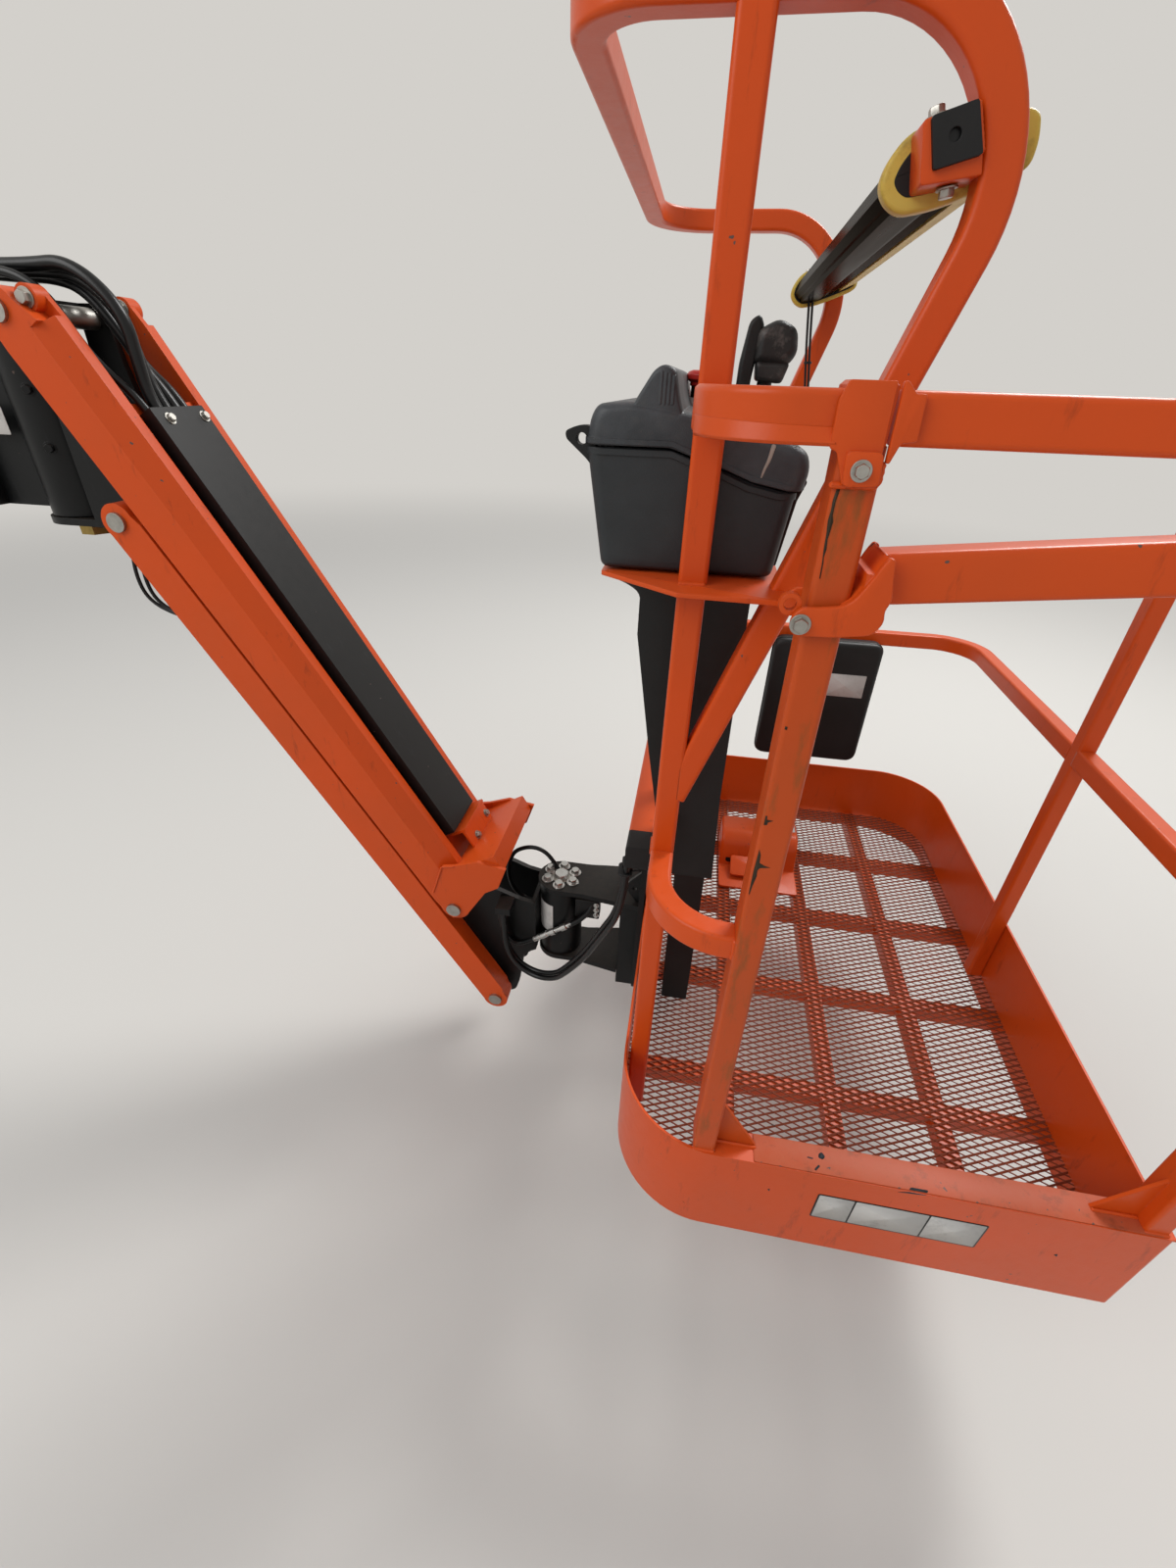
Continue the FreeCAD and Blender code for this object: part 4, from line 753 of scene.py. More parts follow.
# %% Loop, cables and rotator hose
loop_route = np.array([(1077, -85, -1096), (1077, -85, -1168), (1086, -91, -1214),
                       (1116, -100, -1252), (1163, -112, -1262), (1207, -127, -1240),
                       (1234, -143, -1198), (1278, -166, -1118), (1312, -190, -1030),
                       (1362, -238, -890), (1362, -238, -781)])
LOOP_RADIUS = 0.006
loop_steps = ((0, 0, 0), (4, -15, 0))
hose_bundle("platform_hose_loop", [on_head(loop_route + step) for step in loop_steps],
            (LOOP_RADIUS, LOOP_RADIUS),
            "platform_hoses")

cable_route = np.array([(384, -36, -316), (384, -36, -345), (372, -40, -400), (380, -40, -452),
                        (432, -38, -480), (500, -28, -492)])
CABLE_RADIUS = 0.0035
cable_steps = ((-7, 0, 0), (7, 3, -3))
cable_ends = ((545.4, -14, -482.4), (545.4, -3, -482.4))
cable_routes = [on_head(np.vstack([cable_route + step, end]))
                for step, end in zip(cable_steps, cable_ends)]
hose_bundle("lift_cylinder_cables", cable_routes, (CABLE_RADIUS, CABLE_RADIUS),
            "loop_cables")

ROTATOR_HOSE_RADIUS = 0.005
rotator_run = ((1137, -1160), (1085, -1160), (1056, -1090), (1070, -1020), (1107, -996),
               (1140, -996), (1167, -1018), (1183, -1050))
hose_bundle("rotator_top_hose", [on_head([(x, 24, z) for x, z in rotator_run])],
            (ROTATOR_HOSE_RADIUS,),
            "rotator_hose")

# %% [markdown]
# ## Turned pieces, pierced plates and flat pieces
# Many small pieces share a shape: a button or a boot is turned, a lug is a plate with a hole,
# a label or a pressed plate is an outline with a little thickness, and a grip or a hood is an
# outline with wide soft edges. For those last ones the rings narrow about the middle of the
# outline, so that even a large radius stays clean.

# %% Turned, pierced and flat
def turned(profile, place, way, count=28):
    """A profile of (height, radius) in mm about an axis: place + height x way + radius x circle."""
    way, side, lift = ways_across(way)
    around = circle(1.0, count) @ np.stack([side, lift])
    height, radius = np.asarray(profile, float).T / 1000
    return skin(np.asarray(place) + height[:, None, None] * way + radius[:, None, None] * around)


def spread(outline, count=64):
    """An outline's points spread evenly: x and y read off along the running length."""
    closed = np.vstack([outline, outline[:1]])
    run = np.concatenate([[0], np.cumsum(np.linalg.norm(np.diff(closed, axis=0), axis=1))])
    marks = np.linspace(0, run[-1], count, endpoint=False)
    return np.stack([np.interp(marks, run, closed[:, k]) for k in (0, 1)], 1)


def pierced(outline, middle, radius, thick, origin, right_way, up_way):
    """A plate with a round hole: its outer wall, face, hole wall and back as one closed band."""
    outline = spread(outline)
    arm = outline - middle
    hole = middle + radius * arm / np.linalg.norm(arm, axis=1, keepdims=True)
    out_way = np.cross(right_way, up_way)
    rings = np.array([origin + flat[:, :1] * right_way + flat[:, 1:] * up_way + level * out_way
                      for flat, level in ((outline, 0), (outline, thick), (hole, thick), (hole, 0))])
    index = np.arange(rings.shape[0] * rings.shape[1]).reshape(rings.shape[:2])
    ahead_ring, ahead_point = np.roll(index, -1, axis=0), np.roll(index, -1, axis=1)
    both = np.roll(ahead_ring, -1, axis=1)
    quads = np.stack([index, ahead_point, both, ahead_ring], axis=-1).reshape(-1, 4)
    return rings.reshape(-1, 3), quads.tolist()


def upright_plate(outline, depth, thick, soft=0.6, steps=2):
    """An outline in x and z on the platform, mm, its back at a depth and its face to the entry."""
    return slab(np.asarray(outline, float) / 1000, thick / 1000, on_platform([0, depth, 0]),
                WAY_X, WAY_Z, soft / 1000, steps)


def lying_plate(outline, height, thick, soft=0.6, steps=2):
    """An outline in x and y on the platform, mm, from a height upwards."""
    return slab(np.asarray(outline, float) / 1000, thick / 1000, on_platform([0, 0, height]),
                WAY_X, WAY_Y, soft / 1000, steps)


def cushioned(outline, near, far, soft, right_way=WAY_X, up_way=WAY_Z, steps=6):
    """An outline with two round ends: each ring is middle + (outline - middle) x a cosine share."""
    outline = np.asarray(outline, float)
    low, high = outline.min(0), outline.max(0)
    middle, half = (low + high) / 2, (high - low) / 2
    turn = np.linspace(0, math.pi / 2, steps + 1)
    depth = soft * (1 - np.cos(turn))
    draw = soft * (1 - np.sin(turn))
    depths = np.concatenate([near + depth, far - depth[::-1]])
    draws = np.concatenate([draw, draw[::-1]])
    out_way = np.cross(up_way, right_way)
    rings = [PLATFORM_CORNER + ((middle + (outline - middle) * (1 - step / half)) / 1000)
             @ np.stack([right_way, up_way]) + level / 1000 * out_way
             for step, level in zip(draws, depths)]
    return skin(np.array(rings))


print("a turned button takes", len(turned([(0, 9), (6, 9)], np.zeros(3), WAY_Z)[0]), "points")

# %% [markdown]
# ## The control console
# The console is a deep moulded box of dark polyethylene with a lid that meets it along a
# slanting seam. Its walls lean outwards to leave the mould, its corners are round in plan, and
# both halves end in a proud lip. A section in x and z is carried across, and near both ends it
# draws in by two quarter circles: a large one for the upright corners and a small one for the
# edge away from the seam.

# %% Console box
SEAM_X = np.array([-97.0, -14.0, 10.0, 43.0, 82.0, 122.0])
SEAM_Z = np.array([1044.5, 1044.5, 1037.5, 1029.0, 1017.0, 1010.5])
CONSOLE_NEAR = 190.0
CONSOLE_FAR = 502.0
# The walls keep their whole height at the seam, and draw in fully from this far away from it.
SEAM_CALM = 25.0


def moulding(section, near, far, corner, edge, steps=6):
    """A section carried across: x narrows by corner (1 - sin t), height by edge (1 - sin t)."""
    turn = np.linspace(0, math.pi / 2, steps + 1)
    depth = corner * (1 - np.cos(turn))
    draw = 1 - np.sin(turn)
    stations = np.concatenate([near + depth, far - depth[::-1]])[:, None]
    draws = np.concatenate([draw, draw[::-1]])[:, None]
    x, z = np.asarray(section, float).T
    middle, half = (x.max() + x.min()) / 2, (x.max() - x.min()) / 2
    from_seam = z - np.interp(x, SEAM_X, SEAM_Z)
    share = np.clip(np.abs(from_seam) / SEAM_CALM, 0, 1)
    new_x = middle + (x - middle) * (1 - draws * corner / half)
    new_z = z - np.sign(from_seam) * share * draws * edge
    return skin(on_platform(np.stack([new_x, np.broadcast_to(stations, new_x.shape), new_z], -1)))


def seam_band(left, right, low, high):
    """A band along the seam, from one height over it to another, between two ends in x."""
    x = np.concatenate([[left], SEAM_X[1:-1], [right]])
    z = np.interp(x, SEAM_X, SEAM_Z)
    return np.concatenate([np.stack([x, z + low], 1), np.stack([x, z + high], 1)[::-1]])


box_section = np.array([(-78, 925), (107, 925), (118, 1009.5), (82, 1015.5), (43, 1027.5),
                        (10, 1036), (-14, 1043), (-97, 1043)])
box_round = [8, 8, 1, 6, 6, 6, 6, 1]
console_parts = [moulding(rounded(box_section, box_round), CONSOLE_NEAR + 2, CONSOLE_FAR - 2, 13, 6),
                 moulding(seam_band(-98.5, 119.5, -8, -2), CONSOLE_NEAR + 0.5, CONSOLE_FAR - 0.5,
                          20, 0)]
console_box = show("console_box_shell", gather(console_parts), "platform", grey_plastic)
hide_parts("console_box")

# %% [markdown]
# ## The console's lid
# The lid laps over the box with a lip of its own and slopes towards the person who stands at
# it. A hump with four ribs rises from it like a padded block. A hook with a hole and a strap
# hold the lid at its two ends, and a dried splash has run down its near side.

# %% Console lid
lid_section = np.array([(-97, 1046), (-93, 1070), (-86, 1081), (-54, 1084), (14, 1075), (60, 1063),
                        (103, 1054), (122, 1047), (127, 1030), (123, 1012), (82, 1018.5),
                        (43, 1030.5), (10, 1039), (-14, 1046)])
lid_round = [1, 16, 12, 8, 10, 8, 10, 9, 8, 1, 6, 6, 6, 6]
hump = np.array([(-62, 1060), (-50, 1084), (-33, 1110), (-24, 1115), (-12, 1112), (-6, 1087),
                 (4, 1060)])
lid_parts = [moulding(rounded(lid_section, lid_round), CONSOLE_NEAR - 2, CONSOLE_FAR + 2, 13, 8),
             moulding(seam_band(-99, 125, 2, 7), CONSOLE_NEAR - 3.5, CONSOLE_FAR + 3.5, 18, 0),
             cushioned(rounded(hump, [2, 8, 12, 9, 8, 5, 2]), CONSOLE_NEAR + 1, CONSOLE_FAR - 12, 6)]
RIB_FOOT = 1082
RIB_TOP = 1109
lid_parts += [upright_plate([(x - 1, RIB_FOOT), (x + 1, RIB_FOOT), (x + 1, RIB_TOP - k),
                             (x - 1, RIB_TOP - k)], CONSOLE_NEAR + 9, 8.5, 0.4)
              for k, x in enumerate((-25, -21, -17, -13))]
console_lid = show("console_lid_shell", gather(lid_parts), "platform", lid_plastic)
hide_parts("console_lid")
hook = rounded([(-90, 1022), (-96, 1030), (-108, 1040), (-119, 1049), (-120, 1056), (-108, 1061),
                (-95, 1062), (-88, 1050)], 5)
hook_hole = np.array([-0.103, 1.0495])
catch = rounded([(106, 934), (112, 934), (122, 1000), (129, 1018), (125, 1022), (114, 1004)], 2)
show("console_catches", gather([pierced(hook / 1000, hook_hole, 0.0055, 0.014,
                                        on_platform([0, 216, 0]), WAY_X, WAY_Z),
                                upright_plate(catch, 236, 20, 1)]), "platform", black_plastic)
splash = rounded([(85.5, 1053), (83.5, 1040), (80.5, 1030), (79, 1021), (80.5, 1021),
                  (83, 1029), (87, 1039), (90, 1052)], 2)
show("dried_splash", upright_plate(splash, CONSOLE_NEAR - 2, 0.5, 0.1), "platform", dried_lime)

# %% [markdown]
# ## Joystick and stop button
# Two controls show over the rail: a big boxy joystick, worn pale where gloves grip it, with a
# black guard bent round its side, and a red stop button on a pale base with a black neck. The
# joystick is a soft-edged block with a skirt on a rubber boot, and the button is turned.

# %% Joystick and stop button
grip = rounded([(63, 1120), (99, 1118), (107, 1130), (104, 1151), (84, 1160), (64, 1150)],
               [4, 7, 6, 8, 8, 7])
skirt = rounded([(67, 1104), (95, 1102), (101, 1121), (65, 1122)], 4)
guard = rounded([(47, 1064), (60, 1064), (63, 1110), (70, 1152), (64, 1164), (54, 1158),
                 (48, 1120)], 5)
joystick_knob = show("joystick_knob", gather([cushioned(grip, 308, 352, 9),
                                              cushioned(skirt, 310, 350, 5)]),
                     "platform", worn_grip)
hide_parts("joystick")
boot = turned([(0, 17), (6, 17), (7, 14), (12, 15), (14, 12), (20, 13), (22, 10), (28, 11), (30, 8),
               (44, 8)], on_platform([76, 330, 1062]), (0.05, 0, 1))
show("joystick_boot_and_guard", gather([cushioned(guard, 317, 343, 5), boot]), "platform",
     black_plastic)
control_plate = rounded([(30, 296), (100, 296), (100, 366), (30, 366)], 6)
show("control_plate", lying_plate(control_plate, 1058, 9), "platform", zinc_steel)
button = turned([(0, 13), (1, 14), (4, 14), (7, 18.5), (12, 19), (15, 17), (17, 12)],
                on_platform([7, 430, 1097]), (0.03, 0, 1))
stop_button = show("stop_button_cap", button, "platform", red_plastic)
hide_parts("stop_button")
show("stop_button_neck", turned([(0, 11), (18, 11)], on_platform([6, 430, 1084]), WAY_Z),
     "platform", black_plastic)
show("stop_button_base", turned([(0, 17), (14, 17), (17, 15), (18, 12)],
                                on_platform([6, 430, 1067]), WAY_Z), "platform", white_vinyl)

# %% [markdown]
# ## The sensor bar
# A bar that senses a person pressed against it hangs between the hoop's legs. It is a dark
# anodised extrusion, ribbed underneath, with a yellow strip along its lower edge. An extrusion
# is the same everywhere along its length, so one outline with its ribs is enough.

# %% Sensor bar
BAR_NEAR = 206.0
BAR_FAR = 934.0
RIB_COUNT = 10
RIB_DEEP = 2.0
under_a, under_b = np.array([182.0, 1229.0]), np.array([241.0, 1254.0])
under_inwards = np.array([[-0.39, 0.92]])
rib_share = np.repeat(np.linspace(0.10, 0.56, RIB_COUNT), 2)[:, None]
rib_step = np.where(np.arange(2 * RIB_COUNT)[:, None] % 4 < 2, 0.0, RIB_DEEP) * under_inwards
ribs = under_a + (under_b - under_a) * rib_share + rib_step
bar_outline = np.vstack([[(144, 1238), (149, 1256), (150.5, 1256.5), (151, 1259), (159, 1265),
                          (229, 1274), (238, 1270), (241, 1254)], ribs[::-1],
                         [(182, 1229), (156, 1226), (153, 1230.5), (150, 1231)]])
extrusion = upright_plate(bar_outline, BAR_FAR, BAR_FAR - BAR_NEAR, 0.2, 1)
sensor_bar = show("sensor_bar_extrusion", extrusion, "platform", dark_aluminium, sharp=25)
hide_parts("sensor_bar")
strip_a, strip_b = under_a + (under_b - under_a) * 0.60, under_b
strip = np.array([strip_a, strip_b, strip_b + [1.5, 8], strip_a + [-0.4, 3]])
show("sensor_bar_strip", upright_plate(strip + [0.4, -0.9], BAR_FAR, BAR_FAR - BAR_NEAR, 0.2, 1),
     "platform", yellow_plastic)

# %% [markdown]
# ## Caps, frames and pads of the sensor bar
# Each end of the bar has a grimy yellow cap, hollow at the outside. The hollows are not cut:
# black sheets of painted shade stand in their place, on both caps' outer faces and on the far
# cap's face towards the bar. Each cap hangs in an orange frame round a black rubber pad with a
# hole, held by a bolt above and one below, and a black disc of painted shade darkens the near
# pad's hole. All are outlines seen from the entry, each at its own depth, so that both ends come
# from the same lists.

# %% Sensor bar ends
cap_outline = [(136.5, 1237), (139, 1250), (147, 1263), (157, 1270.5), (236, 1281), (243, 1277),
               (247, 1263), (246, 1249), (238, 1243), (208, 1231.7), (182, 1223), (157, 1219),
               (144, 1226)]
cap_curve = rounded(cap_outline, [9, 9, 9, 12, 6, 6, 9, 9, 12, 30, 30, 12, 9], 4)
CAP_THICK = 16
cap_depths = (BAR_NEAR, BAR_FAR + CAP_THICK)
caps = [upright_plate(cap_curve, depth, CAP_THICK, 3.5, 4) for depth in cap_depths]
sensor_caps = show("sensor_bar_caps", gather(caps), "platform", yellow_plastic)
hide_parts("sensor_caps")
# Black sheets of painted shade stand for the caps' hollows.
hollow = drawn_in(cap_curve, 10.0)
hollows = [upright_plate(hollow, 190.4, 0.8, 0.2, 1), upright_plate(hollow, 950.4, 0.8, 0.2, 1),
           upright_plate(drawn_in(cap_curve, 5.0), 934.4, 1.2, 0.2, 1)]
show("sensor_cap_hollow_shade", gather(hollows), "platform", black_rubber)
frame_plate = rounded([(161, 1230), (153, 1266), (187, 1276.5), (200, 1247), (203, 1236)],
                      [3, 3, 2, 2, 2])
end_frames = [upright_plate(frame_plate, 190, 34.5, 1), upright_plate(frame_plate, 995, 45, 1)]
sensor_frames = show("sensor_bar_frames", gather(end_frames), "platform", orange_enamel)
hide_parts("sensor_brackets")
pad = rounded([(157.5, 1267), (187, 1275.5), (199, 1246.5), (167, 1238)], 1.5) / 1000
pad_hole = np.array([0.1765, 1.2572])
show("sensor_bar_pads", gather([pierced(pad, pad_hole, 0.0042, 0.004, on_platform([0, depth, 0]),
                                        WAY_X, WAY_Z) for depth in (155.5, 982.0)]),
     "platform", black_rubber)
# A black disc inside the near pad's hole is painted shade.
show("sensor_pad_hole_shade", turned([(0, 4.4), (0.6, 4.4)], on_platform([176.5, 155.4, 1257.2]),
                                -WAY_Y), "platform", black_vinyl)
SENSOR_BOLT = 0.010
upper_bolts = on_platform([(165, 172, 1271), (165, 968, 1271)])
lower_bolts = on_platform([(184, 172, 1232), (184, 968, 1232)])
show("sensor_bar_bolts", gather(bolts(upper_bolts, (-0.28, 0, 0.96), SENSOR_BOLT)
                                + bolts(lower_bolts, (0.155, 0, -0.99), SENSOR_BOLT)),
     "platform", zinc_steel)

# %% [markdown]
# ## The sensor bar's wires
# Two thin cables leave the far cap, hang down beside the hoop's leg and sweep to the console,
# held together by a clip. They are carried circles on smooth lines, as the hoses are.

# %% Sensor wires
sensor_wire = np.array([(170, 930, 1228), (176, 930, 1180), (183, 930, 1134), (190, 930, 1092),
                        (192, 925, 1040), (180, 900, 985), (120, 800, 960), (60, 640, 950),
                        (40, 520, 955)])
WIRE_RADIUS = 0.0021
wires = [carry(circle(WIRE_RADIUS, 8), smooth_line(on_platform(sensor_wire + step)), WAY_X)
         for step in ((0, 0, 0), (6, 0, 0))]
wire_clip = turned([(0, 7), (4, 7)], on_platform([186, 930, 1136]), WAY_Z, 12)
show("sensor_wires", gather(wires + [wire_clip]), "platform", black_rubber)

# %% [markdown]
# ## The sliding gate bar
# One bar slides up and down on the two posts of the entry, and here it was left raised and
# slanting. It has a plate before and behind each post. The plates have a hooked outline, cut
# by plasma and ground round. The outline is given once and mirrored for the right post, where
# the slant puts it higher.

# %% Gate bar outlines
GATE_MIDDLE = 27.0
GATE_SLOPE = math.tan(math.radians(6))
BAR_HEIGHT = 985.0
BAR_MIDDLE = 276.0
BAR_ENDS = (170.0, 700.0)
LEFT_POST = 118.0
RIGHT_POST = 753.0
YOKE_REACH = 60.0
YOKE_THICK = 6.0
yoke_outline = np.array([(110, 930), (105.5, 938), (107, 947), (113, 953), (124, 953.5),
                         (143, 956), (150, 961), (155, 969), (161, 980), (164.5, 988),
                         (168.5, 994.5), (173, 993), (174.5, 980), (178, 963), (174.5, 955),
                         (176.5, 946), (170.5, 935), (142, 931)], float)
yoke_round = [5, 5, 5, 4, 3, 9, 9, 9, 9, 6, 3, 3, 9, 6, 5, 6, 7, 6]
throat = np.array([(143, 956), (150, 961), (155, 969), (161, 980), (164.5, 988), (168.5, 994),
                   (172, 991), (168, 985), (164.5, 977), (158, 966), (152, 958), (144, 953)], float)
tie = np.array([(156, 957), (176, 957), (176, 981), (156, 981)], float)
right_rise = (RIGHT_POST - LEFT_POST - 2 * YOKE_REACH) * GATE_SLOPE


def mirrored(outline):
    """The right post's copy: x measured back from its right edge, z raised by the slant."""
    return np.stack([RIGHT_POST - (outline[:, 0] - LEFT_POST), outline[:, 1] + right_rise], 1)[::-1]


print(f"the gate bar's right end stands {right_rise:.1f} mm higher")

# %% [markdown]
# ## The bar and its yokes
# Two plates, a bent sheet in their throat and a small tie make a yoke round each post. The
# bar between them is a rectangular tube, and a lug with a hole sits at each outer end, with a
# bolt beside it. All of it slides as one piece, so it is one mesh.

# %% Gate bar
yoke = rounded(yoke_outline, yoke_round)
gate_parts = [upright_plate(shape, depth, YOKE_THICK, 1.2, 3)
              for shape in (yoke, mirrored(yoke)) for depth in (1, 60)]
gate_parts += [upright_plate(shape, 54.5, deep, 0.4) for sheet, deep in ((throat, 54), (tie, 55))
               for shape in (sheet, mirrored(sheet))]
bar_x = np.array(BAR_ENDS)
bar_line = on_platform(np.stack([bar_x, np.full(2, GATE_MIDDLE),
                                 BAR_HEIGHT + (bar_x - BAR_MIDDLE) * GATE_SLOPE], 1))
bar_profile = rounded([(-15, -20), (15, -20), (15, 20), (-15, 20)], 5) / 1000
gate_parts.append(carry(bar_profile, bar_line, WAY_Z))
LUG_RADIUS = 0.009
LUG_HOLE = 0.005
LUG_THICK = 0.008
lug_middles = np.array([(104.5, 953.0), (RIGHT_POST + 13.5, 953.0 + right_rise)]) / 1000
gate_parts += [pierced(circle(LUG_RADIUS, 32) + middle, middle, LUG_HOLE, LUG_THICK,
                       on_platform([0, 10, 0]), WAY_X, WAY_Z) for middle in lug_middles]
gate = show("gate_bar_and_yokes", gather(gate_parts), "gate_bar", orange_enamel)
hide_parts("gate_bar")
gate_bolts = on_platform([(113.8, -5, 940), (RIGHT_POST + 4.2, -5, 940 + right_rise)])
show("gate_bar_bolts", gather(bolts(gate_bolts, -WAY_Y, 0.0105)), "gate_bar", zinc_steel)

# %% [markdown]
# ## Joints of the entry post
# The rail ends meet over the left gate post in a pressed sleeve with chamfered shoulders, a
# small plate with one bolt, and a thin dark gap. Left of it the rail's lower edge was flattened
# where the tube was bent, and that facet flares outwards and catches the sky. It is a thin
# wedge that follows the rail and its bend, wider towards the sleeve.

# %% Entry post
sleeve_face = rounded([(109.5, 1064), (109.5, 1093), (114, 1105), (145, 1105), (146, 1041),
                       (123, 1041), (115, 1062)], 2)
bolt_plate = rounded([(121, 1063), (146.5, 1063), (148, 1041), (123, 1040)], 5)
shoulder = rounded([(148.8, 1105), (151.5, 1105), (158, 1098), (165, 1098), (166, 1070),
                    (156, 1068.5), (151.5, 1056), (149, 1056)], 2)
# Each row is a plate: its outline, the depth of its back and its thickness.
post_plates = ((sleeve_face, 2, 3), (bolt_plate, -1, 3), (shoulder, 4, 6))
show("entry_post_plates", gather([upright_plate(outline, depth, thick, 0.8)
                                  for outline, depth, thick in post_plates]),
     "platform", orange_enamel)
show("entry_post_bolt", gather(bolts(on_platform([(133.5, -4, 1051)]), -WAY_Y, 0.0092)),
     "platform", zinc_steel)
RAIL_FACE = 4.0
RAIL_BEND = 85.0
RAIL_OUTER = 75.0
arc = np.radians(np.linspace(0, 75, 12))
facet_line = np.vstack([[(113, RAIL_FACE), (100, RAIL_FACE)],
                        np.stack([RAIL_BEND - RAIL_OUTER * np.sin(arc),
                                  RAIL_FACE + RAIL_OUTER - RAIL_OUTER * np.cos(arc)], 1)])
facet_out = np.vstack([[(0, -1), (0, -1)], np.stack([-np.sin(arc), -np.cos(arc)], 1)])
flare = np.linspace(5.5, 0.4, len(facet_line))[:, None]
# Each row is an edge of the wedge: how far it stands out of the rail, and its two end heights.
facet_edges = ((-1.5, 1075, 1079), (0.1, 1077, 1080), (flare, 1067, 1067),
               (flare - 1.5, 1065, 1065), (-2.0, 1066.5, 1066.5))
facet_rings = np.stack([np.column_stack([facet_line + facet_out * out,
                                         np.linspace(first, last, len(facet_line))])
                        for out, first, last in facet_edges], 1)
show("rail_flattened_edge", skin(on_platform(facet_rings)), "platform", orange_enamel)

# %% [markdown]
# ## The entry sill and its label
# The sill is the kick board's front with a flat flange on top. The flange is a sheet of its
# own, laid on and welded, so a small step shows along it. Tools have left blue-black scuffs.
# The load label is a printed vinyl strip in three fields, which here stay blank. Every mark is
# a thin sheet of its own, so it stays in the exported model.

# %% Sill, label and scuffs
flange = rounded([(206, 1.5), (744, 1.5), (752, 10), (752, 43), (206, 43)], 3)
show("sill_flange_sheet", lying_plate(flange, 152, 1.5, 0.5), "platform", worn_enamel)
label_frame = rounded([(307, 37), (542, 37), (542, 103), (307, 103)], 4)
show("sill_label_border", upright_plate(label_frame, 0.1, 0.5, 0.1), "platform", black_vinyl)
fields = [rounded([(a, 39.5), (b, 39.5), (b, 100.5), (a, 100.5)], 2)
          for a, b in ((309.5, 359), (361.5, 462), (464.5, 539.5))]
show("sill_label_fields", gather([upright_plate(field, -0.35, 0.3, 0.1) for field in fields]),
     "platform", white_vinyl)
flange_spots = ([(299, 24), (305, 22), (309, 27), (305, 33), (300, 30)],
                [(282, 21), (290, 20), (292, 22), (284, 23)],
                [(293, 4), (300, 12), (298, 14), (291, 6)],
                [(419, 2), (444, 2), (446, 6), (423, 6)])
board_spots = ([(405, 146), (438, 150), (443, 152), (420, 152)],
               [(236, 88), (240, 84), (239, 92)], [(642, 60), (648, 56), (646, 64)])
scuffs = [lying_plate(rounded(spot, 2), 153.4, 0.25, 0.1) for spot in flange_spots]
scuffs += [upright_plate(rounded(spot, 1.5), 0.1, 0.35, 0.1) for spot in board_spots]
show("tool_scuffs", gather(scuffs), "platform", scuff_paint)

# %% [markdown]
# ## Flaked paint, the console's shelf and the pedestal's collar
# On the entry post the paint has cracked along the left edge and flaked off lower down, where
# the gate bar knocks against it. The marks are dark, rusty and uneven, so each is an outline
# drawn one by one. The console stands on a steel shelf with one corner cut off, and under it the
# pedestal widens in a moulded collar.

# %% Flaked paint, shelf and collar
flakes = [
    [(121.3, 1038), (120.2, 1030), (120.5, 1024), (119.8, 1016), (120.8, 1007), (121.2, 996),
     (122.2, 986), (122.6, 974), (123.5, 974), (123.2, 986), (122.6, 990), (123.3, 996),
     (122.5, 1003), (123.3, 1010), (123.7, 1016), (122.4, 1020), (122.5, 1030), (123.9, 1038)],
    [(121, 845), (123.2, 844.5), (123, 841.5), (120.8, 842)],
    [(120.6, 748), (122.2, 748), (122.6, 743.5), (129, 743), (124, 740.5), (123.8, 737.5),
     (120.6, 737)],
    [(121.5, 707), (124, 700), (124.5, 690), (130, 687), (136, 685.5), (126, 683.5), (124, 680),
     (124.5, 672), (122.5, 660), (121, 646), (120.2, 648), (120.3, 680)]]
post_near = (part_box("gate_post_left")[0][1] - PLATFORM_CORNER[1]) * 1000
show("post_flakes", gather([upright_plate(flake, post_near + 0.1, 0.35, 0.05)
                            for flake in flakes]), "platform", flaked_steel)
print(f"the post's near face lies {post_near:.1f} mm inside the board")
shelf_outline = rounded([(118, 118), (118, 540), (-80, 540), (-76, 190), (11, 122)],
                        [1, 1, 3, 3, 1])
console_shelf = show("console_shelf_plate", lying_plate(shelf_outline, 918, 5, 0.8), "platform",
                     orange_enamel)
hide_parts("console_shelf")
collar = rounded([(-75, 897), (-56, 891.5), (-37, 880), (-37, 850), (-20, 850), (-20, 917.5),
                  (-75, 917.5)], [4, 10, 14, 2, 2, 1, 1], 4)
show("pedestal_collar", upright_plate(collar, 420, 158, 4, 3), "platform", black_plastic)

# %% [markdown]
# ## Manual box and foot switch
# A black moulded box for the papers hangs on the far rail: round corners, a lid that laps over
# a rim, and one small label, left blank. The foot switch on the floor is a painted steel hood
# over a pedal, open at its sloping front. Box and hood are outlines with wide soft edges. The
# foot switch's opening is a black sheet on the slope, painted shade that stands for the dark
# inside of the hood.

# %% Manual box and foot switch
box_outline = rounded([(247, 216), (522, 216), (520, 554), (249, 552)], 28, 6)
rim_outline = rounded([(245.3, 215.3), (522.8, 215.3), (522, 554.8), (246, 554)], 28, 6)
manual_box = show("manual_box_shell", gather([cushioned(box_outline, 1125.5, 1174.5, 11),
                                              cushioned(rim_outline, 1140, 1147, 1.5)]),
                  "platform", black_plastic)
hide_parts("manual_box")
label = rounded([(399, 409), (495, 409), (494, 471), (398, 471)], 2)
show("manual_box_label", upright_plate(label, 1125.6, 0.4, 0.1), "platform", white_vinyl)
hood = rounded([(984, 0.5), (984, 84), (974, 91.5), (906, 91.5), (884, 70), (866, 10), (862, 0.5)],
               [1, 12, 12, 14, 14, 6, 1], 5)
foot_plate = rounded([(176, 776), (374, 776), (374, 980), (176, 980)], 10)
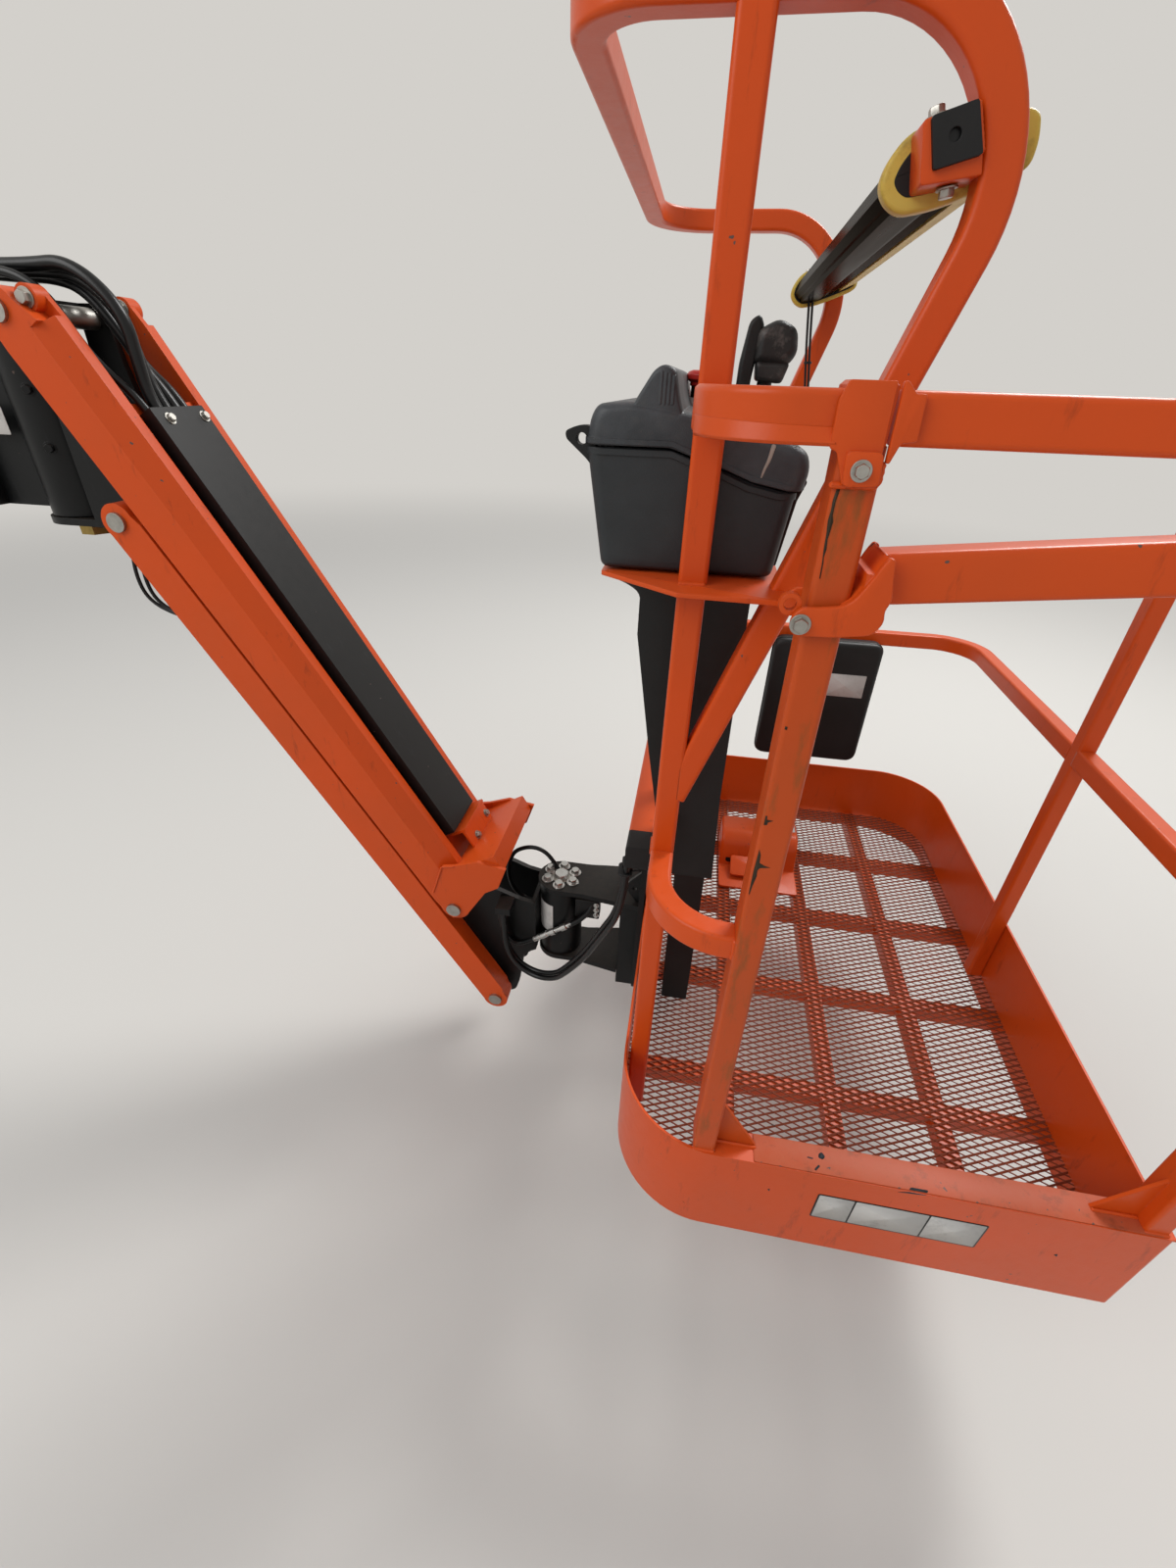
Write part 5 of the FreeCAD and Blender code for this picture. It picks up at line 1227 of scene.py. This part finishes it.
foot_hood = show("foot_switch_hood", gather([cushioned(hood * [-1, 1], 176, 374, 9, -WAY_Y, WAY_Z),
                                             lying_plate(foot_plate, 0.5, 6)]),
                 "platform", orange_enamel)
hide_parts("foot_switch")
# The black sheet on the hood's slope is painted shade for the dark inside of the opening.
slope_way = np.array([0.0, 22.0, 60.0]) / math.hypot(22, 60)
opening = rounded([(0.192, 0.0), (0.330, 0.0), (0.330, 0.056), (0.192, 0.056)], 0.008)
show("foot_switch_opening_shade", slab(opening, 0.002, on_platform([0, 868.5, 14]), WAY_X, slope_way),
     "platform", black_rubber)
pedal_way = np.array([0, 0.94, 0.34])
pedal = rounded([(0.204, 0.0), (0.318, 0.0), (0.318, 0.060), (0.204, 0.060)], 0.008)
show("foot_switch_pedal", slab(pedal, 0.006, on_platform([0, 812, 14]), WAY_X, pedal_way),
     "platform", orange_enamel)
switch_label = rounded([(346, 930), (368, 930), (368, 972), (346, 972)], 2)
show("foot_switch_label", lying_plate(switch_label, 91.3, 0.4, 0.1), "platform", white_vinyl)

# %% [markdown]
# ## The rotator and its fittings
# The platform turns on a rotary actuator. Its shaft is held by a large nut in a ring of six
# bolts, bright zinc against black enamel. A label is wrapped round the housing, left blank:
# its four edges are arcs about the turning axis.

# %% Rotator
TURN_X = 1.197
RING_RADIUS = 0.034
NUT_WIDE = 0.031
NUT_SUNK = 0.009
RING_BOLT = 0.0175
arm_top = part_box("rotator_bolts")[0][2]
ring_turn = np.radians(30 + 60 * np.arange(6))
ring_places = np.stack([TURN_X + RING_RADIUS * np.cos(ring_turn), RING_RADIUS * np.sin(ring_turn),
                        np.full(6, arm_top)], 1)
shaft_nut = bolts([(TURN_X, 0, arm_top - NUT_SUNK)], WAY_Z, NUT_WIDE)
rotator_bolts = show("rotator_bolt_heads", gather(shaft_nut + bolts(ring_places, WAY_Z, RING_BOLT)),
                     "platform", bright_zinc)
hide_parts("rotator_bolts")
wrap = np.radians(np.linspace(2, 78, 12))
# Each row is an edge of the label: its distance from the axis and its height.
label_edges = ((49.8, -1187), (50.5, -1187), (50.5, -1104), (49.8, -1104))
label_rings = np.stack([np.stack([TURN_X * 1000 - radius * np.cos(wrap), -radius * np.sin(wrap),
                                  np.full(12, height)], 1) for radius, height in label_edges], 1)
show("rotator_label", skin(on_head(label_rings)), "level_head", white_vinyl)

# %% [markdown]
# ## Valve, fitting and tie
# Beside the rotator stand a valve block with three screws and a crimped hydraulic fitting with
# a hose at each end. A crimped sleeve is a turned profile with grooves where the press closed
# on it. Further out a black tie holds the two platform hoses together.

# %% Valve, fitting and tie
fitting_start = on_head([1142, -60, -1207])
fitting_way = on_head([1214, -60, -1154]) - fitting_start
crimp = [(0, 5), (1, 7.6), (6, 8), (7, 7), (11, 7), (12, 8), (18, 8), (19, 7), (23, 7), (24, 8),
         (40, 8), (42, 6.4), (50, 6.4), (51, 9), (64, 9), (65, 6), (82, 6), (83, 8.6), (98, 8.6),
         (100, 6), (114, 6)]
show("rotator_hose_fitting", turned(crimp, fitting_start, fitting_way, 20), "level_head",
     bright_zinc)
elbow = np.array([(1228, -60, -1144), (1244, -60, -1132), (1260, -58, -1116), (1274, -54, -1098),
                  (1280, -48, -1080)])
feed = np.array([(1146, -60, -1204), (1122, -61, -1220), (1100, -65, -1226), (1080, -73, -1204),
                 (1070, -82, -1150), (1070, -88, -1098)])
FEED_RADIUS = 0.0062
show("rotator_feed_hose", gather([carry(circle(FEED_RADIUS, 12), smooth_line(on_head(route)), WAY_Y)
                                  for route in (elbow, feed)]), "level_head", hose_rubber)
valve = rounded([(1240, -1120), (1296, -1120), (1296, -1068), (1240, -1068)], 3) / 1000
show("rotator_valve", slab(valve, 0.030, np.array([0, -0.024, 0]), WAY_X, WAY_Z, 0.002),
     "level_head", black_enamel)
valve_screws = on_head([(1289, -54, height) for height in (-1078, -1093, -1108)])
show("rotator_valve_bolts", gather(bolts(valve_screws, -WAY_Y, 0.008)), "level_head", bright_zinc)
tie_outline = rounded([(1351, -262), (1377, -262), (1375, -226), (1349, -226)], 9) / 1000
tie_band = slab(tie_outline, 0.005, np.array([0, 0, -0.806]), WAY_X, WAY_Y, 0.001)
tie_end = turned([(0, 2), (16, 1.4)], on_head([1376, -244, -804]), (1, 0.2, 0.1), 8)
show("hose_tie", gather([tie_band, tie_end]), "platform", black_rubber)

# %% [markdown]
# ## Bolts of the jib
# Zinc bolts hold the hose cover and its end plates and close the lugs over the jib's pin. Their
# places are measured along the jib, above its pins and across, so one list serves each size.

# %% Jib bolts
cover_bolts = on_jib([(1132, 88, 62), (1140, 88, -15), (203, 78, -37), (203, 78, 48)])
jib_bolts = bolts(cover_bolts, JIB_ABOVE, 0.012)
jib_bolts += bolts(on_jib([(5, 42, -104), (5, 42, 78)]), -WAY_Y, 0.017)
jib_bolts += bolts(on_jib([(5, 42, -78), (5, 42, 104)]), WAY_Y, 0.015)
show("jib_bolts", gather(jib_bolts), "jib", zinc_steel)

# %% [markdown]
# ## Weld beads
# Where tubes and plates meet, a welded seam shows under the paint. A bead is a small round rod
# whose radius ripples a little every few millimetres, as a welder's passes leave it.

# %% Weld beads
BEAD_RADIUS = 0.0028
BEAD_STEP = 0.0018
PASS_LONG = 0.0045


def weld_bead(start, end):
    """A rod from start to end whose radius is r (0.82 + 0.18 |sin|) along its length."""
    start, end = np.asarray(start), np.asarray(end)
    long = np.linalg.norm(end - start)
    along = np.linspace(0, 1, max(int(long / BEAD_STEP), 6))
    ripple = BEAD_RADIUS * (0.82 + 0.18 * np.abs(np.sin(along * long / PASS_LONG * math.pi)))
    ripple[[0, -1]] = BEAD_RADIUS * 0.3
    _, side, lift = ways_across(end - start)
    around = circle(1.0, 8) @ np.stack([side, lift])
    return skin(start + along[:, None, None] * (end - start) + ripple[:, None, None] * around)


platform_welds = [((118, 5, 152.5), (150, 5, 152.5)), ((150, 22, 153.5), (210, 22, 153.5)),
                  ((118, 12, 540), (118, 12, 571)), ((187, 156, 1276), (199, 156, 1247)),
                  ((10.5, 157, 1067), (10.5, 157, 1099)), ((10, 156.5, 923), (39, 156.5, 923)),
                  ((721, 5, 152.5), (753, 5, 152.5)), ((662, 22, 153.5), (722, 22, 153.5)),
                  ((740, 594, 540), (740, 594, 571)), ((148, 1.5, 1057), (148, 1.5, 1041)),
                  ((115, 4.5, 1040.5), (149, 4.5, 1040.5)), ((10, 187.5, 540), (10, 187.5, 571))]
show("platform_welds", gather([weld_bead(*on_platform(pair)) for pair in platform_welds]),
     "platform", orange_enamel)
jib_welds = [((165, 52, -77), (228, 52, -77)), ((1150, 62, -120), (1150, 120, -120)),
             ((1110, 83, -50), (1110, 83, 75)), ((1182, -18, -128.5), (1128, 44, -128.5)),
             ((1128, 44, -128.5), (1137, 73, -128.5))]
show("jib_welds", gather([weld_bead(*on_jib(pair)) for pair in jib_welds]), "jib",
     orange_enamel)

# %% [markdown]
# ## The head's label and bolts
# Where the photo's frame cuts the machine off, the head still shows the edge of a label and
# two painted bolts on the swing housing. The label is a blank sheet of vinyl on the bracket's
# flat side, and the bolts point outwards from the housing's round side.

# %% Head
head_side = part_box("boom_end_bracket")[0][1]
head_label = rounded([(0.165, -0.172), (0.229, -0.172), (0.229, -0.129), (0.165, -0.129)], 0.003)
show("head_label", slab(head_label, 0.0006, np.array([0, head_side + 0.0001, 0]), WAY_X, WAY_Z,
                        0.0001), "boom_end", white_vinyl)
housing_low, housing_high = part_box("swing_housing")
housing_radius = (housing_high[1] - housing_low[1]) / 2
housing_middle = housing_high[0] - housing_radius
print(f"housing radius {housing_radius * 1000:.0f} mm about x {housing_middle * 1000:.0f} mm")
BOLT_SUNK = 0.0015
bolt_turn = math.radians(-70)
bolt_way = np.array([math.cos(bolt_turn), math.sin(bolt_turn), 0])
bolt_base = np.array([housing_middle, 0, 0]) + (housing_radius - BOLT_SUNK) * bolt_way
housing_bolts = [bolt_base + height * WAY_Z for height in (-0.103, -0.190)]
show("housing_bolts", gather(bolts(housing_bolts, bolt_way, 0.013)), "boom_end", black_enamel)

# %% [markdown]
# ## The floor under the platform
# The platform hangs over a plain pale floor, as in a studio. The floor fades into the pale
# background far away, so that no horizon draws the eye: a smooth step of the distance from the
# middle mixes the floor's own finish with the background's colour.

# %% Floor
FLOOR_LEVEL = -1.61
FLOOR_RADIUS = 18.0
FLOOR_MIDDLE = 1.3
FADE_START = 4.0
FADE_END = 11.0
BACKGROUND = "#D3D0CB"
disc = np.column_stack([circle(FLOOR_RADIUS, 48) + [FLOOR_MIDDLE, 0], np.full(48, FLOOR_LEVEL)])
ground_skin = skin(np.stack([disc, disc - [0, 0, 0.05]]))
ground_finish, tree, shader, place = new_finish("pale_floor")
shader.inputs["Base Color"].default_value = to_linear("#C9C6C0")
shader.inputs["Roughness"].default_value = 0.9
glow = add(tree, "ShaderNodeEmission", {"Color": to_linear(BACKGROUND), "Strength": 1.0})
distance = add(tree, "ShaderNodeVectorMath", {"operation": "LENGTH"},
               {0: place.outputs["Object"]})
fade = add(tree, "ShaderNodeMapRange", {"interpolation_type": "SMOOTHSTEP",
                                        "From Min": FADE_START, "From Max": FADE_END},
           {"Value": distance.outputs["Value"]})
blend_node = add(tree, "ShaderNodeMixShader", None,
                 {0: fade.outputs["Result"], 1: shader.outputs["BSDF"],
                  2: glow.outputs["Emission"]})
surface = next(item for item in tree.nodes if item.type == "OUTPUT_MATERIAL")
tree.links.new(blend_node.outputs["Shader"], surface.inputs["Surface"])
ground = show("ground", ground_skin, None, ground_finish)

# %% [markdown]
# ## Light
# Two large lamps stand where the sun and the open sky were, high behind on the right and wide
# on the left, and the world fills the shade. The camera and mirrored rays see the world in the
# background's pale colour, and everything else is lit by a cooler, weaker one.

# %% Light
def lamp(name, place, aim, width, power):
    """A square area lamp at a place, turned so that its -Z axis points at the aim."""
    data = bpy.data.lights.new(name, "AREA")
    data.size = width
    data.energy = power
    item = bpy.data.objects.new(name, data)
    back = np.asarray(place, float) - np.asarray(aim, float)
    back = back / np.linalg.norm(back)
    side = np.cross(WAY_Z, back)
    side = side / np.linalg.norm(side)
    matrix = np.eye(4)
    matrix[:3] = np.column_stack([side, np.cross(back, side), back, place])
    item.matrix_world = matrix.T
    bpy.context.scene.collection.objects.link(item)


lamp("sun_side", (4.2, 3.2, 4.4), (1.2, 0, -0.8), 2.2, 330)
lamp("sky_side", (-2.5, -3.5, 3.2), (1.3, 0, -0.8), 4.0, 170)
world = bpy.data.worlds.new("studio")
world.use_nodes = True
bpy.context.scene.world = world
sky = world.node_tree
sky.nodes.clear()
rays = add(sky, "ShaderNodeLightPath")
seen = add(sky, "ShaderNodeMath", {"operation": "MAXIMUM"},
           {0: rays.outputs["Is Camera Ray"], 1: rays.outputs["Is Glossy Ray"]})
soft_light = add(sky, "ShaderNodeBackground", {"Color": to_linear("#F2F4F8"), "Strength": 0.62})
pale = add(sky, "ShaderNodeBackground", {"Color": to_linear(BACKGROUND), "Strength": 1.0})
mixed = add(sky, "ShaderNodeMixShader", None,
            {0: seen.outputs[0], 1: soft_light.outputs[0], 2: pale.outputs[0]})
add(sky, "ShaderNodeOutputWorld", None, {"Surface": mixed.outputs[0]})
bpy.context.scene.view_settings.view_transform = "Standard"
print("two lamps and the world are set")
